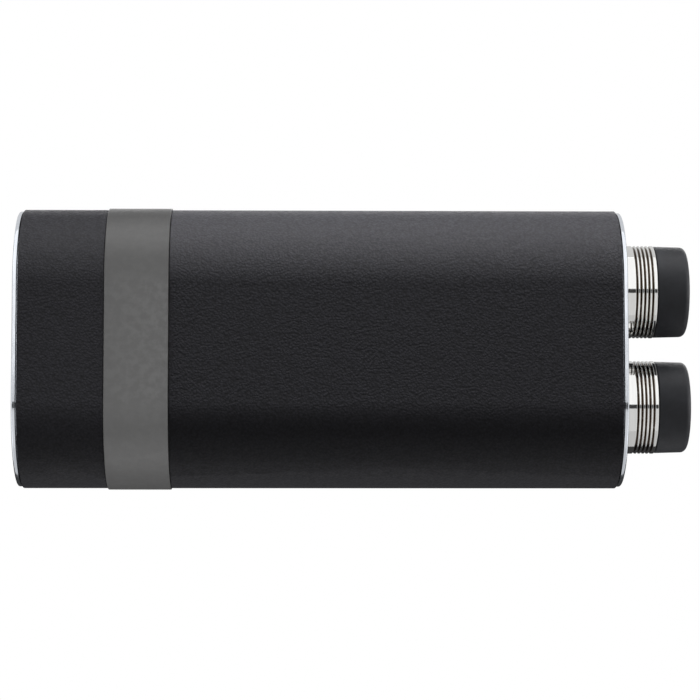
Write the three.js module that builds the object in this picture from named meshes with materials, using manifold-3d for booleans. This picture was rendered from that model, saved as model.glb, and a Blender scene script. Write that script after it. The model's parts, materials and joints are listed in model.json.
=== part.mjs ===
// Liquid-cooled astronomy camera, in millimetres, +Z up.
// It lies on its broad side: X runs from the telescope end (-X) to the coolant end (+X), Y is across.
// The origin is at the middle of the bounding box, on the surface that the camera lies on.
import * as THREE from "three";
import { mergeVertices } from "three/addons/utils/BufferGeometryUtils.js";
import Module from "manifold-3d";

const wasm = await Module();
wasm.setup();

// Driving dimensions. Along the length, x = 0 is the outer face of the front plate.
const PORT_SPACING = 40; // between the axes of the two coolant stubs
const SHELL_RADIUS = 28; // of the round sides; twice this is the body's thickness
const SHELL_WALL = 2.5;
const PLATE_LIP = 1.8; // how far each end plate stands out of its sleeve
const FRONT_SLEEVE = 28.9;
const BAND_WIDTH = 21.9;
const REAR_SLEEVE = 152.5;
const BAND_PROUD = 0.5; // how far the band stands out of the sleeves all round
const STUB_RADIUS = 16;
const STUB_REACH = 13.4; // from the rear end of the sleeve to the end of the stub
const PLUG_REACH = 24.9; // from the rear end of the sleeve to the end of the plug
const GROOVES = 5;
const GROOVE_PITCH = 1.363;
const FIRST_GROOVE = 6.4; // from the rear end of the sleeve to the first groove's centre
const TELESCOPE_THREAD = 42; // thread diameter, 0.75 pitch
const FIT = 0.3; // clearance between fitted pieces
const HAIR = 0.05; // clearance between faces that rest on each other
const ARC_STEPS = 8; // half the number of facets on each round side of an outline

// Worked out from them.
const HALF_SPACING = PORT_SPACING / 2;
const INNER_RADIUS = SHELL_RADIUS - SHELL_WALL;
const SPIGOT_RADIUS = INNER_RADIUS - FIT;
const PLATE_RADIUS = SHELL_RADIUS - 0.6;
const FRONT_START = PLATE_LIP;
const BAND_START = FRONT_START + FRONT_SLEEVE;
const REAR_START = BAND_START + BAND_WIDTH;
const REAR_END = REAR_START + REAR_SLEEVE;
const REAR_FACE = REAR_END + PLATE_LIP;
const STUB_END = REAR_END + STUB_REACH;
const PLUG_END = REAR_END + PLUG_REACH;
const PORT_SIDES = { inlet: HALF_SPACING, outlet: -HALF_SPACING };

// Plates, spigots and screw channels.
const SPIGOT_DEPTH = 6.2;
const FRONT_SPIGOT_END = FRONT_START + SPIGOT_DEPTH;
const REAR_SPIGOT_START = REAR_END - SPIGOT_DEPTH;
const BAND_SPIGOT = 5.8; // how far the band's inner tube reaches under each sleeve
const BAND_BORE = 22.8;
const CHANNEL_REACH = 22.6; // from the axis of a round side to its screw channels
const CHANNEL_ANGLE = Math.PI / 3;
const CHANNEL_Y = HALF_SPACING + CHANNEL_REACH * Math.cos(CHANNEL_ANGLE);
const CHANNEL_Z = CHANNEL_REACH * Math.sin(CHANNEL_ANGLE);
const CORNERS = [
  [CHANNEL_Y, CHANNEL_Z],
  [CHANNEL_Y, -CHANNEL_Z],
  [-CHANNEL_Y, CHANNEL_Z],
  [-CHANNEL_Y, -CHANNEL_Z],
];
const CHANNEL_OUTER = 3.3;
const SCREW_HOLE = 1.7;
const SCREW_HOLE_DEPTH = 10;
const COUNTERBORE = { radius: 3.1, depth: 2.6 };
const SCREW = { shank: 1.4, head: 2.75, headDepth: 2.3, length: 14, sunk: 0.2 };
const SCREW_TIP = { length: 0.6, taper: 0.6 };
const SCREW_RECESS = { acrossFlats: 2.5, depth: 1.4 };
const PLATE_ROUNDING = 0.7;
const BAND_GAP = 0.15; // between the band and each sleeve
const OVERCUT = 1; // how far a cutter runs past the face that it cuts

// Sensor end. start and end are along X, and half sizes are measured from the axis.
const RING = { radius: 22.7, start: 0.3, chamfer: 0.5, threadDepth: 0.4, lip: 16.5, lipStart: 6.8 };
const SHUTTER_X = 10;
const SHUTTER_PIVOT = [15, -18];
const SHUTTER_DISC = 12.5;
const SHUTTER_PLATE = { edgeGap: 0.6, thickness: 1, ringGap: 0.4, pivotHole: 1.6, overlap: 0.5 };
const BLADE = { thickness: 0.6, armHalf: 2.4, hub: 3, hubLength: 1.8, hubBore: 1.25 };
const MOTOR = { radius: 5, start: 13, end: 24.4, shaft: 1 };
const MOTOR_EARS = { start: 12.25, halfWidth: 8.5, depth: 3.5 };
const MOTOR_POST = { radius: 1.3, spacing: 6.5, drop: 1.5, end: 12.2 };
const RETAINER = { outer: 14.9, inner: 12.5, start: 11.3, end: 12.1 };
const WINDOW = { radius: 14.7, start: 12.25, end: 14.05 };
const WINDOW_SEAL = { radius: 14, thickness: 0.6, x: 14.75 };
const CHAMBER = { start: 11.2, end: 36.7, radius: 18, pocket: 15.2, cavity: 16 };
const CHAMBER_LEDGE = { inner: 13, start: 15.45, end: 16.4 };
const CHAMBER_FLANGE = { radius: 21.5, start: 34.5 };
const COVER_GLASS = { start: 17.2, end: 17.7, halfWidth: 10.5, halfHeight: 8.5 };
const PACKAGE = { start: 17.8, end: 20.2, halfWidth: 12, halfHeight: 9.5 };
const PACKAGE_WELL = { start: 17, end: 19.2, halfWidth: 9.5, halfHeight: 7.5 };
const DIE = { start: 18.7, end: 19.1, halfWidth: 8.65, halfHeight: 6.5 };
const SENSOR_BOARD = { radius: 15.6, start: 20.45, end: 21.65 };
const BOARD_OPENING = { start: 20, end: 22, halfWidth: 6.4, halfHeight: 6.4 };
const FINGER_NECK = { start: 20.4, end: 29, halfWidth: 6, halfHeight: 6 };
const FINGER_FOOT = { start: 28.5, end: 30, halfWidth: 7.5, halfHeight: 7.5 };
const UPPER_COOLER = { start: 30.2, end: 33.2, halfWidth: 7.5, halfHeight: 7.5 };
const LOWER_COOLER = { start: 33.4, end: 36.8, halfWidth: 11, halfHeight: 11 };
const CONNECTOR_CAP = { start: 21, end: 28, halfWidth: 8, low: 18.3, high: 20.6 };
const CONNECTOR_STEM = { start: 22.5, end: 26.5, halfWidth: 6, low: 16.5, high: 18.4 };
const DESICCANT = { radius: 6.5, start: 14, end: 32, y: -31 };
const DESICCANT_CAP = { radius: 4, start: 31.5, end: 33.5 };
const DESICCANT_STEM = { radius: 1.8, length: 8, x: 24, y: -22.3 };

// Water block, inside the joint band.
const BLOCK_START = 37;
const BLOCK_END = 46;
const BLOCK_RADIUS = BAND_BORE - 0.4;
const BLOCK_POCKET = { start: 40.5, halfWidth: 27, halfHeight: 12 };
const FIN = { start: 40, halfLength: 15, halfThickness: 0.6, pitch: 4.8, perSide: 2 };
const GASKET = { outer: 19, inner: 16.5, gap: 0.15 };
const LID_START = 47;
const LID_END = 49.5;
const LEAD_NOTCH = { halfWidth: 7, low: 19.5 }; // where the sensor lead passes over

// Sensor lead: [x, z] along its route.
const LEAD_ROUTE = [[22, 21.1], [34, 21.1], [46, 21.1], [52, 20.4], [58, 15.4], [61.5, 12.8], [64.8, 12.4]];
const LEAD = { thickness: 0.4, halfWidth: 5.5, steps: 20 };

// Electronics.
const BOARD_START = 62;
const BOARD_END = 186;
const BOARD_HALF_WIDTH = 39;
const BOARD_HEIGHT = 9; // of each board's inner face above or below the middle
const BOARD_THICKNESS = 1.6;
const RAIL = { start: 68, end: 182, inner: 36.8, outer: 41, halfHeight: 12.4, halfSlot: 1.1 };
const SOCKET_HEIGHT = 19.5; // of the two sockets above and below the middle
const SOCKET_START = 190;
const SOCKET_SUNK = 0.3; // how far each socket's rim lies below the plate's face
const DATA_SOCKET = { halfWidth: 6, halfHeight: 5.3 };
const DATA_MOUTH = { start: 195, halfWidth: 4.3, halfHeight: 3.9 };
const DATA_TONGUE = { start: 194.5, sunk: 1.2, halfWidth: 2.9, halfHeight: 1.6 };
const POWER_SOCKET = { radius: 5, mouth: 2.8, mouthStart: 196 };
const POWER_PIN = { radius: 1, start: 195.5, sunk: 1.5 };
const LIGHT = { radius: 1.5, start: 196, sunk: 0.1, z: 9 };

// Coolant line.
const PIPE = { radius: 5, wall: 1.2, start: 47.4, end: 193 };
const STUB = { shank: 11, start: 188, bore: 10, boreStart: 208, grooveDepth: 0.55, chamfer: 0.3 };
const VALVE_SEAT = { x: 206, radius: 5 };
const VALVE_CHAMBER = { radius: 8, start: 193.5 };
const STUB_SEAL = { radius: 13.05, thickness: 0.6, inset: 0.75 };
const SEAL_GROOVE = { outer: 14, inner: 12.1, depth: 1.5 };
const STUB_NUT = { acrossFlats: 28, start: 193.6 };
const VALVE = { stem: 1.6, stemStart: 197, headStart: 203, head: 6.8, coneStart: 204.4, nose: 4.4 };
const VALVE_NOSE = { seatGap: 0.2, end: 209, tip: 209.6, tipRadius: 3.8 };
const SPRING = { radius: 6.2, wire: 0.45, turns: 4, start: 194.2, end: 202.3, steps: 36 };
const PLUG = { spigot: 9.4, start: 210.2, lead: 0.5, inset: 0.2 };
const PLUG_EDGE = { rounding: 3, steps: 4, dome: 0.3, taper: 0.3 };
const PLUG_GROOVE = { radius: 8.4, start: 213, end: 214.6 };
const PLUG_SEAL = { radius: 9.05, thickness: 0.55, x: 213.8 };

// Materials.
function metal(color, roughness) {
  return new THREE.MeshStandardMaterial({ color, roughness, metalness: 1 });
}

function plain(color, roughness) {
  return new THREE.MeshStandardMaterial({ color, roughness, metalness: 0 });
}

const BLACK_COAT = plain(0x1c1c20, 0.6);
const GREY_COAT = plain(0x5f5f5f, 0.5);
const CHROME = metal(0xe6ecf2, 0.12);
const BLACK_PLASTIC = plain(0x1e1d1c, 0.5);
const BLACK_ANODISED = metal(0x24242a, 0.45);
const ALUMINIUM = metal(0xb8bcc0, 0.35);
const STEEL = metal(0x9a9da2, 0.3);
const COPPER = metal(0xc07a4e, 0.3);
const BRASS = metal(0xc9a656, 0.3);
const RUBBER = plain(0x141414, 0.8);
const GLASS = plain(0xd8e6ea, 0.05);
const CERAMIC = plain(0xe4e2dc, 0.5);
const SILICON = metal(0x3b3f52, 0.2);
const GREEN_BOARD = plain(0x1d5a35, 0.5);
const BLUE_BOARD = plain(0x1b3a63, 0.5);
const AMBER_FILM = plain(0xb4762a, 0.4);
const LIGHT_LENS = plain(0x9fd8a8, 0.2);

// Booleans on closed geometries.
function solidOf(geometry) {
  const bare = geometry.clone();
  bare.deleteAttribute("normal");
  bare.deleteAttribute("uv");
  const merged = mergeVertices(bare, 1e-4);
  return new wasm.Manifold(
    new wasm.Mesh({
      numProp: 3,
      vertProperties: merged.attributes.position.array,
      triVerts: new Uint32Array(merged.index.array),
    }),
  );
}

function geometryOf(solid) {
  const { vertProperties, triVerts } = solid.getMesh();
  const geometry = new THREE.BufferGeometry();
  geometry.setAttribute("position", new THREE.BufferAttribute(vertProperties, 3));
  geometry.setIndex(new THREE.BufferAttribute(triVerts, 1));
  geometry.computeVertexNormals();
  return geometry;
}

function join(...geometries) {
  return geometryOf(geometries.map(solidOf).reduce((sum, next) => sum.add(next)));
}

function cut(body, ...tools) {
  return geometryOf(tools.map(solidOf).reduce((left, tool) => left.subtract(tool), solidOf(body)));
}

// Shapes. An outline is drawn in the camera's cross-section, (y, z), and extruded along X.
const ALONG_X = new THREE.Matrix4().makeBasis(
  new THREE.Vector3(0, 1, 0),
  new THREE.Vector3(0, 0, 1),
  new THREE.Vector3(1, 0, 0),
);

// Takes a turned piece's axis, Y, to X.
const ALONG_X_AXIS = new THREE.Matrix4().makeBasis(
  new THREE.Vector3(0, 0, 1),
  new THREE.Vector3(1, 0, 0),
  new THREE.Vector3(0, 1, 0),
);

function stadium(radius, path = new THREE.Shape()) {
  path.absarc(HALF_SPACING, 0, radius, -Math.PI / 2, Math.PI / 2, false);
  path.absarc(-HALF_SPACING, 0, radius, Math.PI / 2, (3 * Math.PI) / 2, false);
  path.closePath();
  return path;
}

function extrude(shape, start, end) {
  const options = { depth: end - start, bevelEnabled: false, curveSegments: ARC_STEPS };
  return new THREE.ExtrudeGeometry(shape, options).applyMatrix4(ALONG_X).translate(start, 0, 0);
}

function roundedSlab(shape, start, end, rounding) {
  const options = {
    depth: end - start - 2 * rounding,
    bevelThickness: rounding,
    bevelSize: rounding,
    bevelOffset: -rounding,
    bevelSegments: 2,
    curveSegments: ARC_STEPS,
  };
  return new THREE.ExtrudeGeometry(shape, options).applyMatrix4(ALONG_X).translate(start + rounding, 0, 0);
}

function tubeOf(outer, inner, start, end) {
  const shape = stadium(outer);
  shape.holes.push(stadium(inner, new THREE.Path()));
  return extrude(shape, start, end);
}

function box(x0, x1, y0, y1, z0, z1) {
  const middle = [(x0 + x1) / 2, (y0 + y1) / 2, (z0 + z1) / 2];
  return new THREE.BoxGeometry(x1 - x0, y1 - y0, z1 - z0).translate(...middle);
}

// A block centred on the camera's axis.
function block({ start, end, halfWidth, halfHeight }) {
  return box(start, end, -halfWidth, halfWidth, -halfHeight, halfHeight);
}

// A turned piece about an axis along X. The profile holds [x, radius] pairs, with the outer wall along +X.
function turned(profile, y = 0, z = 0, segments = 28) {
  const points = profile.map(([x, radius]) => new THREE.Vector2(radius, x));
  return new THREE.LatheGeometry(points, segments).applyMatrix4(ALONG_X_AXIS).translate(0, y, z);
}

function rod(radius, start, end, y = 0, z = 0, segments = 20) {
  return turned([[start, 0], [start, radius], [end, radius], [end, 0]], y, z, segments);
}

function ring(outer, inner, start, end, y = 0, z = 0, segments = 28) {
  const profile = [[start, inner], [start, outer], [end, outer], [end, inner], [start, inner]];
  return turned(profile, y, z, segments);
}

function oRing(radius, thickness, x, y = 0, z = 0) {
  return new THREE.TorusGeometry(radius, thickness, 5, 20).rotateY(Math.PI / 2).translate(x, y, z);
}

function hexPrism(acrossFlats, start, end, y, z) {
  return rod(acrossFlats / Math.sqrt(3), start, end, y, z, 6);
}

// The camera's group: lengths from the front plate, heights from the middle of the body.
const camera = new THREE.Group();
camera.position.set(-PLUG_END / 2, 0, SHELL_RADIUS + BAND_PROUD);

function add(name, geometry, material) {
  const mesh = new THREE.Mesh(geometry, material);
  mesh.name = name;
  camera.add(mesh);
}

// Casing.
function screwChannels(start, end) {
  return CORNERS.map(([y, z]) => rod(CHANNEL_OUTER, start, end, y, z, 12));
}

function sleeve(start, end, channelStart, channelEnd) {
  const shell = tubeOf(SHELL_RADIUS, INNER_RADIUS, start, end);
  const tube = join(shell, ...screwChannels(channelStart, channelEnd));
  const holes = CORNERS.map(([y, z]) => {
    return rod(SCREW_HOLE, channelStart - OVERCUT, channelEnd + OVERCUT, y, z, 8);
  });
  return cut(tube, ...holes);
}

const bandTubeStart = BAND_START - BAND_SPIGOT;
const bandTubeEnd = REAR_START + BAND_SPIGOT;
const frontSleeve = sleeve(FRONT_START, BAND_START, SHUTTER_X, bandTubeStart - FIT);
const rearSleeve = sleeve(REAR_START, REAR_END, bandTubeEnd + FIT, REAR_SPIGOT_START - FIT);
add("front_sleeve", frontSleeve, BLACK_COAT);
add("rear_sleeve", rearSleeve, BLACK_COAT);
add(
  "joint_band",
  join(
    tubeOf(SHELL_RADIUS + BAND_PROUD, BAND_BORE, BAND_START + BAND_GAP, REAR_START - BAND_GAP),
    tubeOf(SPIGOT_RADIUS, BAND_BORE, bandTubeStart, bandTubeEnd),
  ),
  GREY_COAT,
);

function inOrder(first, second) {
  return [Math.min(first, second), Math.max(first, second)];
}

// Each plate screw runs through a counterbored hole. side is 1 at the front and -1 at the rear.
function screwHoles(face, side) {
  return CORNERS.flatMap(([y, z]) => {
    const ends = inOrder(face - side * OVERCUT, face + side * COUNTERBORE.depth);
    const through = inOrder(face, face + side * SCREW_HOLE_DEPTH);
    return [rod(COUNTERBORE.radius, ...ends, y, z, 16), rod(SCREW_HOLE, ...through, y, z, 8)];
  });
}

add(
  "front_plate",
  cut(
    join(
      roundedSlab(stadium(PLATE_RADIUS), 0, FRONT_START - HAIR, PLATE_ROUNDING),
      extrude(stadium(SPIGOT_RADIUS), FRONT_START / 2, FRONT_SPIGOT_END),
    ),
    rod(RING.radius + FIT, -OVERCUT, FRONT_SPIGOT_END + OVERCUT, 0, 0, 36),
    ...screwHoles(0, 1),
  ),
  CHROME,
);

const portYs = Object.values(PORT_SIDES);
const throughPlate = [REAR_SPIGOT_START - OVERCUT, REAR_FACE + OVERCUT];
const sealGroove = [REAR_FACE - SEAL_GROOVE.depth, REAR_FACE + OVERCUT];
const dataHoleHalfWidth = DATA_SOCKET.halfWidth + FIT;
const dataHoleHalfHeight = DATA_SOCKET.halfHeight + FIT;
add(
  "rear_plate",
  cut(
    join(
      roundedSlab(stadium(PLATE_RADIUS), REAR_END + HAIR, REAR_FACE, PLATE_ROUNDING),
      extrude(stadium(SPIGOT_RADIUS), REAR_SPIGOT_START, REAR_FACE - PLATE_LIP / 2),
    ),
    ...screwHoles(REAR_FACE, -1),
    ...portYs.map((y) => rod(STUB.shank + FIT, ...throughPlate, y, 0, 24)),
    ...portYs.map((y) => ring(SEAL_GROOVE.outer, SEAL_GROOVE.inner, ...sealGroove, y, 0, 24)),
    box(
      ...throughPlate,
      -dataHoleHalfWidth,
      dataHoleHalfWidth,
      SOCKET_HEIGHT - dataHoleHalfHeight,
      SOCKET_HEIGHT + dataHoleHalfHeight,
    ),
    rod(POWER_SOCKET.radius + FIT, ...throughPlate, 0, -SOCKET_HEIGHT, 16),
    rod(LIGHT.radius + FIT, ...throughPlate, 0, LIGHT.z, 10),
  ),
  CHROME,
);

// A socket head screw with a hexagonal recess.
function plateScrew(face, side, y, z) {
  const headStart = face + side * SCREW.sunk;
  const headEnd = headStart + side * SCREW.headDepth;
  const tip = face + side * SCREW.length;
  const profile = [
    [headStart, 0],
    [headStart, SCREW.head],
    [headEnd, SCREW.head],
    [headEnd, SCREW.shank],
    [tip - side * SCREW_TIP.length, SCREW.shank],
    [tip, SCREW.shank * SCREW_TIP.taper],
    [tip, 0],
  ];
  const recess = inOrder(headStart - side * OVERCUT, headStart + side * SCREW_RECESS.depth);
  const blank = turned(side > 0 ? profile : profile.reverse(), y, z, 12);
  return cut(blank, hexPrism(SCREW_RECESS.acrossFlats, ...recess, y, z));
}

CORNERS.forEach(([y, z], index) => {
  add(`front_plate_screw_${index + 1}`, plateScrew(0, 1, y, z), STEEL);
  add(`rear_plate_screw_${index + 1}`, plateScrew(REAR_FACE, -1, y, z), STEEL);
});

// Telescope side: threaded ring, shutter and window.
const ringBore = TELESCOPE_THREAD / 2 - RING.threadDepth;
const ringChamferEnd = RING.start + RING.chamfer;
const ringProfile = [
  [RING.start, ringBore + RING.chamfer],
  [RING.start, RING.radius],
  [FRONT_SPIGOT_END, RING.radius],
  [FRONT_SPIGOT_END, RING.lip],
  [RING.lipStart, RING.lip],
  [RING.lipStart, ringBore],
  [ringChamferEnd, ringBore],
  [RING.start, ringBore + RING.chamfer],
];
add("telescope_thread_ring", turned(ringProfile, 0, 0, 36), BLACK_ANODISED);

const [pivotY, pivotZ] = SHUTTER_PIVOT;
const shutterPlateStart = FRONT_SPIGOT_END + SHUTTER_PLATE.ringGap;
const shutterPlateEnd = shutterPlateStart + SHUTTER_PLATE.thickness;
const throughShutter = [shutterPlateStart - OVERCUT, shutterPlateEnd + OVERCUT];
const motorPosts = [pivotY - MOTOR_POST.spacing, pivotY + MOTOR_POST.spacing].map((y) => {
  return rod(MOTOR_POST.radius, shutterPlateEnd - FIT, MOTOR_POST.end, y, pivotZ - MOTOR_POST.drop, 8);
});
add(
  "shutter_plate",
  cut(
    join(
      extrude(stadium(INNER_RADIUS - SHUTTER_PLATE.edgeGap), shutterPlateStart, shutterPlateEnd),
      ...motorPosts,
    ),
    rod(SHUTTER_DISC - SHUTTER_PLATE.overlap, ...throughShutter, 0, 0, 28),
    rod(SHUTTER_PLATE.pivotHole, ...throughShutter, pivotY, pivotZ, 8),
    ...CORNERS.map(([y, z]) => rod(SCREW_HOLE, ...throughShutter, y, z, 8)),
  ),
  BLACK_ANODISED,
);

// The blade is parked open, beside the light path.
const bladeArm = new THREE.Shape();
const parkedY = 2 * pivotY;
const armAngle = Math.atan2(-pivotZ, parkedY - pivotY);
const armSide = [-Math.sin(armAngle) * BLADE.armHalf, Math.cos(armAngle) * BLADE.armHalf];
bladeArm.moveTo(pivotY - armSide[0], pivotZ - armSide[1]);
bladeArm.lineTo(parkedY - armSide[0], -armSide[1]);
bladeArm.lineTo(parkedY + armSide[0], armSide[1]);
bladeArm.lineTo(pivotY + armSide[0], pivotZ + armSide[1]);
bladeArm.closePath();
const bladeEnd = SHUTTER_X + BLADE.thickness;
const hubEnd = SHUTTER_X + BLADE.hubLength;
add(
  "shutter_blade",
  cut(
    join(
      rod(SHUTTER_DISC, SHUTTER_X, bladeEnd, parkedY, 0, 28),
      extrude(bladeArm, SHUTTER_X, bladeEnd),
      rod(BLADE.hub, SHUTTER_X, hubEnd, pivotY, pivotZ, 20),
    ),
    rod(BLADE.hubBore, SHUTTER_X - OVERCUT, hubEnd + OVERCUT, pivotY, pivotZ, 12),
  ),
  BLACK_ANODISED,
);

const motorEars = box(
  MOTOR_EARS.start,
  MOTOR.start + FIT,
  pivotY - MOTOR_EARS.halfWidth,
  pivotY + MOTOR_EARS.halfWidth,
  pivotZ - MOTOR_EARS.depth,
  pivotZ,
);
add(
  "shutter_motor",
  join(
    rod(MOTOR.radius, MOTOR.start, MOTOR.end, pivotY, pivotZ),
    motorEars,
    rod(MOTOR.shaft, SHUTTER_X, MOTOR.start + FIT, pivotY, pivotZ, 12),
  ),
  STEEL,
);

// Sensor chamber: a cup with the window at the front, open at the back where the cooler closes it.
add(
  "sensor_chamber",
  cut(
    turned([
      [CHAMBER.start, CHAMBER.pocket],
      [CHAMBER.start, CHAMBER.radius],
      [CHAMBER_FLANGE.start, CHAMBER.radius],
      [CHAMBER_FLANGE.start, CHAMBER_FLANGE.radius],
      [CHAMBER.end, CHAMBER_FLANGE.radius],
      [CHAMBER.end, CHAMBER.cavity],
      [CHAMBER_LEDGE.end, CHAMBER.cavity],
      [CHAMBER_LEDGE.end, CHAMBER_LEDGE.inner],
      [CHAMBER_LEDGE.start, CHAMBER_LEDGE.inner],
      [CHAMBER_LEDGE.start, CHAMBER.pocket],
      [CHAMBER.start, CHAMBER.pocket],
    ]),
    box(
      CONNECTOR_STEM.start - FIT,
      CONNECTOR_STEM.end + FIT,
      -CONNECTOR_STEM.halfWidth - FIT,
      CONNECTOR_STEM.halfWidth + FIT,
      CHAMBER_LEDGE.inner,
      CHAMBER.radius + OVERCUT,
    ),
    box(
      CHAMBER_FLANGE.start - OVERCUT,
      CHAMBER.end + OVERCUT,
      -LEAD_NOTCH.halfWidth,
      LEAD_NOTCH.halfWidth,
      LEAD_NOTCH.low,
      CHAMBER_FLANGE.radius + OVERCUT,
    ),
  ),
  ALUMINIUM,
);
add("window_retainer", ring(RETAINER.outer, RETAINER.inner, RETAINER.start, RETAINER.end), BLACK_ANODISED);
add("window_glass", rod(WINDOW.radius, WINDOW.start, WINDOW.end, 0, 0, 28), GLASS);
add("window_seal", oRing(WINDOW_SEAL.radius, WINDOW_SEAL.thickness, WINDOW_SEAL.x), RUBBER);

// Image sensor on its cold finger.
add("sensor_cover_glass", block(COVER_GLASS), GLASS);
add("sensor_package", cut(block(PACKAGE), block(PACKAGE_WELL)), CERAMIC);
add("sensor_die", block(DIE), SILICON);
const roundBoard = rod(SENSOR_BOARD.radius, SENSOR_BOARD.start, SENSOR_BOARD.end, 0, 0, 24);
add("sensor_board", cut(roundBoard, block(BOARD_OPENING)), GREEN_BOARD);
add("cold_finger", join(block(FINGER_NECK), block(FINGER_FOOT)), COPPER);
add("cooler_upper_stage", block(UPPER_COOLER), CERAMIC);
add("cooler_lower_stage", block(LOWER_COOLER), CERAMIC);

function connectorBlock({ start, end, halfWidth, low, high }) {
  return box(start, end, -halfWidth, halfWidth, low, high);
}

add("chamber_connector", join(connectorBlock(CONNECTOR_CAP), connectorBlock(CONNECTOR_STEM)), BLACK_PLASTIC);

const { radius: stemRadius, length: stemLength } = DESICCANT_STEM;
const desiccantStem = new THREE.CylinderGeometry(stemRadius, stemRadius, stemLength, 12);
add(
  "desiccant_cartridge",
  join(
    rod(DESICCANT.radius, DESICCANT.start, DESICCANT.end, DESICCANT.y, 0),
    rod(DESICCANT_CAP.radius, DESICCANT_CAP.start, DESICCANT_CAP.end, DESICCANT.y, 0, 16),
    desiccantStem.translate(DESICCANT_STEM.x, DESICCANT_STEM.y, 0),
  ),
  BRASS,
);

// Water block: finned pocket, gasket and lid, inside the joint band.
function leadNotch(start, end) {
  return box(
    start - OVERCUT,
    end + OVERCUT,
    -LEAD_NOTCH.halfWidth,
    LEAD_NOTCH.halfWidth,
    LEAD_NOTCH.low,
    BLOCK_RADIUS + OVERCUT,
  );
}

const fins = [];
for (let index = -FIN.perSide; index <= FIN.perSide; index += 1) {
  const z = index * FIN.pitch;
  const sides = [z - FIN.halfThickness, z + FIN.halfThickness];
  fins.push(box(FIN.start, BLOCK_END, -FIN.halfLength, FIN.halfLength, ...sides));
}
const blockPocket = block({ ...BLOCK_POCKET, end: BLOCK_END + OVERCUT });
add(
  "water_block",
  join(
    cut(
      extrude(stadium(BLOCK_RADIUS), BLOCK_START, BLOCK_END),
      blockPocket,
      leadNotch(BLOCK_START, BLOCK_END),
    ),
    ...fins,
  ),
  COPPER,
);
const gasket = tubeOf(GASKET.outer, GASKET.inner, BLOCK_END + GASKET.gap, LID_START - GASKET.gap);
add("water_block_gasket", gasket, RUBBER);
const throughLid = [LID_START - OVERCUT, LID_END + OVERCUT];
const pipeHoles = portYs.map((y) => rod(PIPE.radius + FIT, ...throughLid, y, 0, 16));
const lidBlank = extrude(stadium(BLOCK_RADIUS), LID_START, LID_END);
add("water_block_lid", cut(lidBlank, leadNotch(LID_START, LID_END), ...pipeHoles), ALUMINIUM);

// A flat flexible lead from the chamber's connector, over the water block, to the main board.
function flatLead(points, thickness, halfWidth) {
  const curve = new THREE.SplineCurve(points.map(([x, z]) => new THREE.Vector2(x, z)));
  const middle = curve.getPoints(LEAD.steps);
  const side = middle.map((point, index) => {
    const tangent = curve.getTangent(index / LEAD.steps);
    return new THREE.Vector2(-tangent.y, tangent.x).multiplyScalar(thickness / 2);
  });
  const upper = middle.map((point, index) => point.clone().add(side[index]));
  const lower = middle.map((point, index) => point.clone().sub(side[index]));
  const shape = new THREE.Shape([...lower, ...upper.reverse()]);
  const options = { depth: 2 * halfWidth, bevelEnabled: false };
  return new THREE.ExtrudeGeometry(shape, options).rotateX(Math.PI / 2).translate(0, halfWidth, 0);
}

add("sensor_lead", flatLead(LEAD_ROUTE, LEAD.thickness, LEAD.halfWidth), AMBER_FILM);

// Circuit boards with their parts, held by two slotted rails. The parts sink a little into the board.
const boardTop = BOARD_HEIGHT + BOARD_THICKNESS;
const PART_SINK = 0.2;
const MAIN_CHIPS = [
  { x: 68, y: 0, length: 5, width: 16, height: 2.6 },
  { x: 92, y: 0, length: 23, width: 23, height: 2.2 },
  { x: 118, y: 12, length: 9, width: 13, height: 1.2 },
  { x: 118, y: -12, length: 9, width: 13, height: 1.2 },
  { x: 140, y: 0, length: 14, width: 14, height: 1.6 },
  { x: 160, y: 18, length: 8, width: 6, height: 1.4 },
  { x: 160, y: -18, length: 8, width: 6, height: 1.4 },
  { x: 178, y: 22, length: 12, width: 7, height: 5 },
];
const MAIN_CANS = [
  { x: 80, y: 26, radius: 3, height: 6 },
  { x: 88, y: 26, radius: 3, height: 6 },
  { x: 80, y: -26, radius: 3, height: 6 },
];
const POWER_CHIPS = [
  { x: 84, y: 0, length: 13, width: 13, height: 6 },
  { x: 104, y: 0, length: 13, width: 13, height: 6 },
  { x: 124, y: 16, length: 10, width: 6, height: 2 },
  { x: 124, y: -16, length: 10, width: 6, height: 2 },
  { x: 176, y: 0, length: 10, width: 14, height: 5 },
];
const POWER_CANS = [
  { x: 142, y: 14, radius: 5, height: 10 },
  { x: 142, y: 0, radius: 5, height: 10 },
  { x: 142, y: -14, radius: 5, height: 10 },
];

function chip({ x, y, length, width, height }) {
  const along = [x - length / 2, x + length / 2];
  return box(...along, y - width / 2, y + width / 2, boardTop - PART_SINK, boardTop + height);
}

function can({ x, y, radius, height }) {
  const tall = height + PART_SINK;
  const upright = new THREE.CylinderGeometry(radius, radius, tall, 16).rotateX(Math.PI / 2);
  return upright.translate(x, y, boardTop - PART_SINK + tall / 2);
}

const blankBoard = box(BOARD_START, BOARD_END, -BOARD_HALF_WIDTH, BOARD_HALF_WIDTH, BOARD_HEIGHT, boardTop);
const mainBoard = join(blankBoard, ...MAIN_CHIPS.map(chip), ...MAIN_CANS.map(can));
const powerBoard = join(blankBoard, ...POWER_CHIPS.map(chip), ...POWER_CANS.map(can));
add("main_board", mainBoard, GREEN_BOARD);
add("power_board", powerBoard.rotateX(Math.PI), BLUE_BOARD);

function boardRail(side) {
  const bar = box(RAIL.start, RAIL.end, RAIL.inner, RAIL.outer, -RAIL.halfHeight, RAIL.halfHeight);
  const slotSpan = [RAIL.start - OVERCUT, RAIL.end + OVERCUT, RAIL.inner - OVERCUT, BOARD_HALF_WIDTH + FIT];
  const slots = [-1, 1].map((half) => {
    const middle = half * (BOARD_HEIGHT + BOARD_THICKNESS / 2);
    return box(...slotSpan, middle - RAIL.halfSlot, middle + RAIL.halfSlot);
  });
  const rail = cut(bar, ...slots);
  return side > 0 ? rail : rail.rotateX(Math.PI);
}

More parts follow.
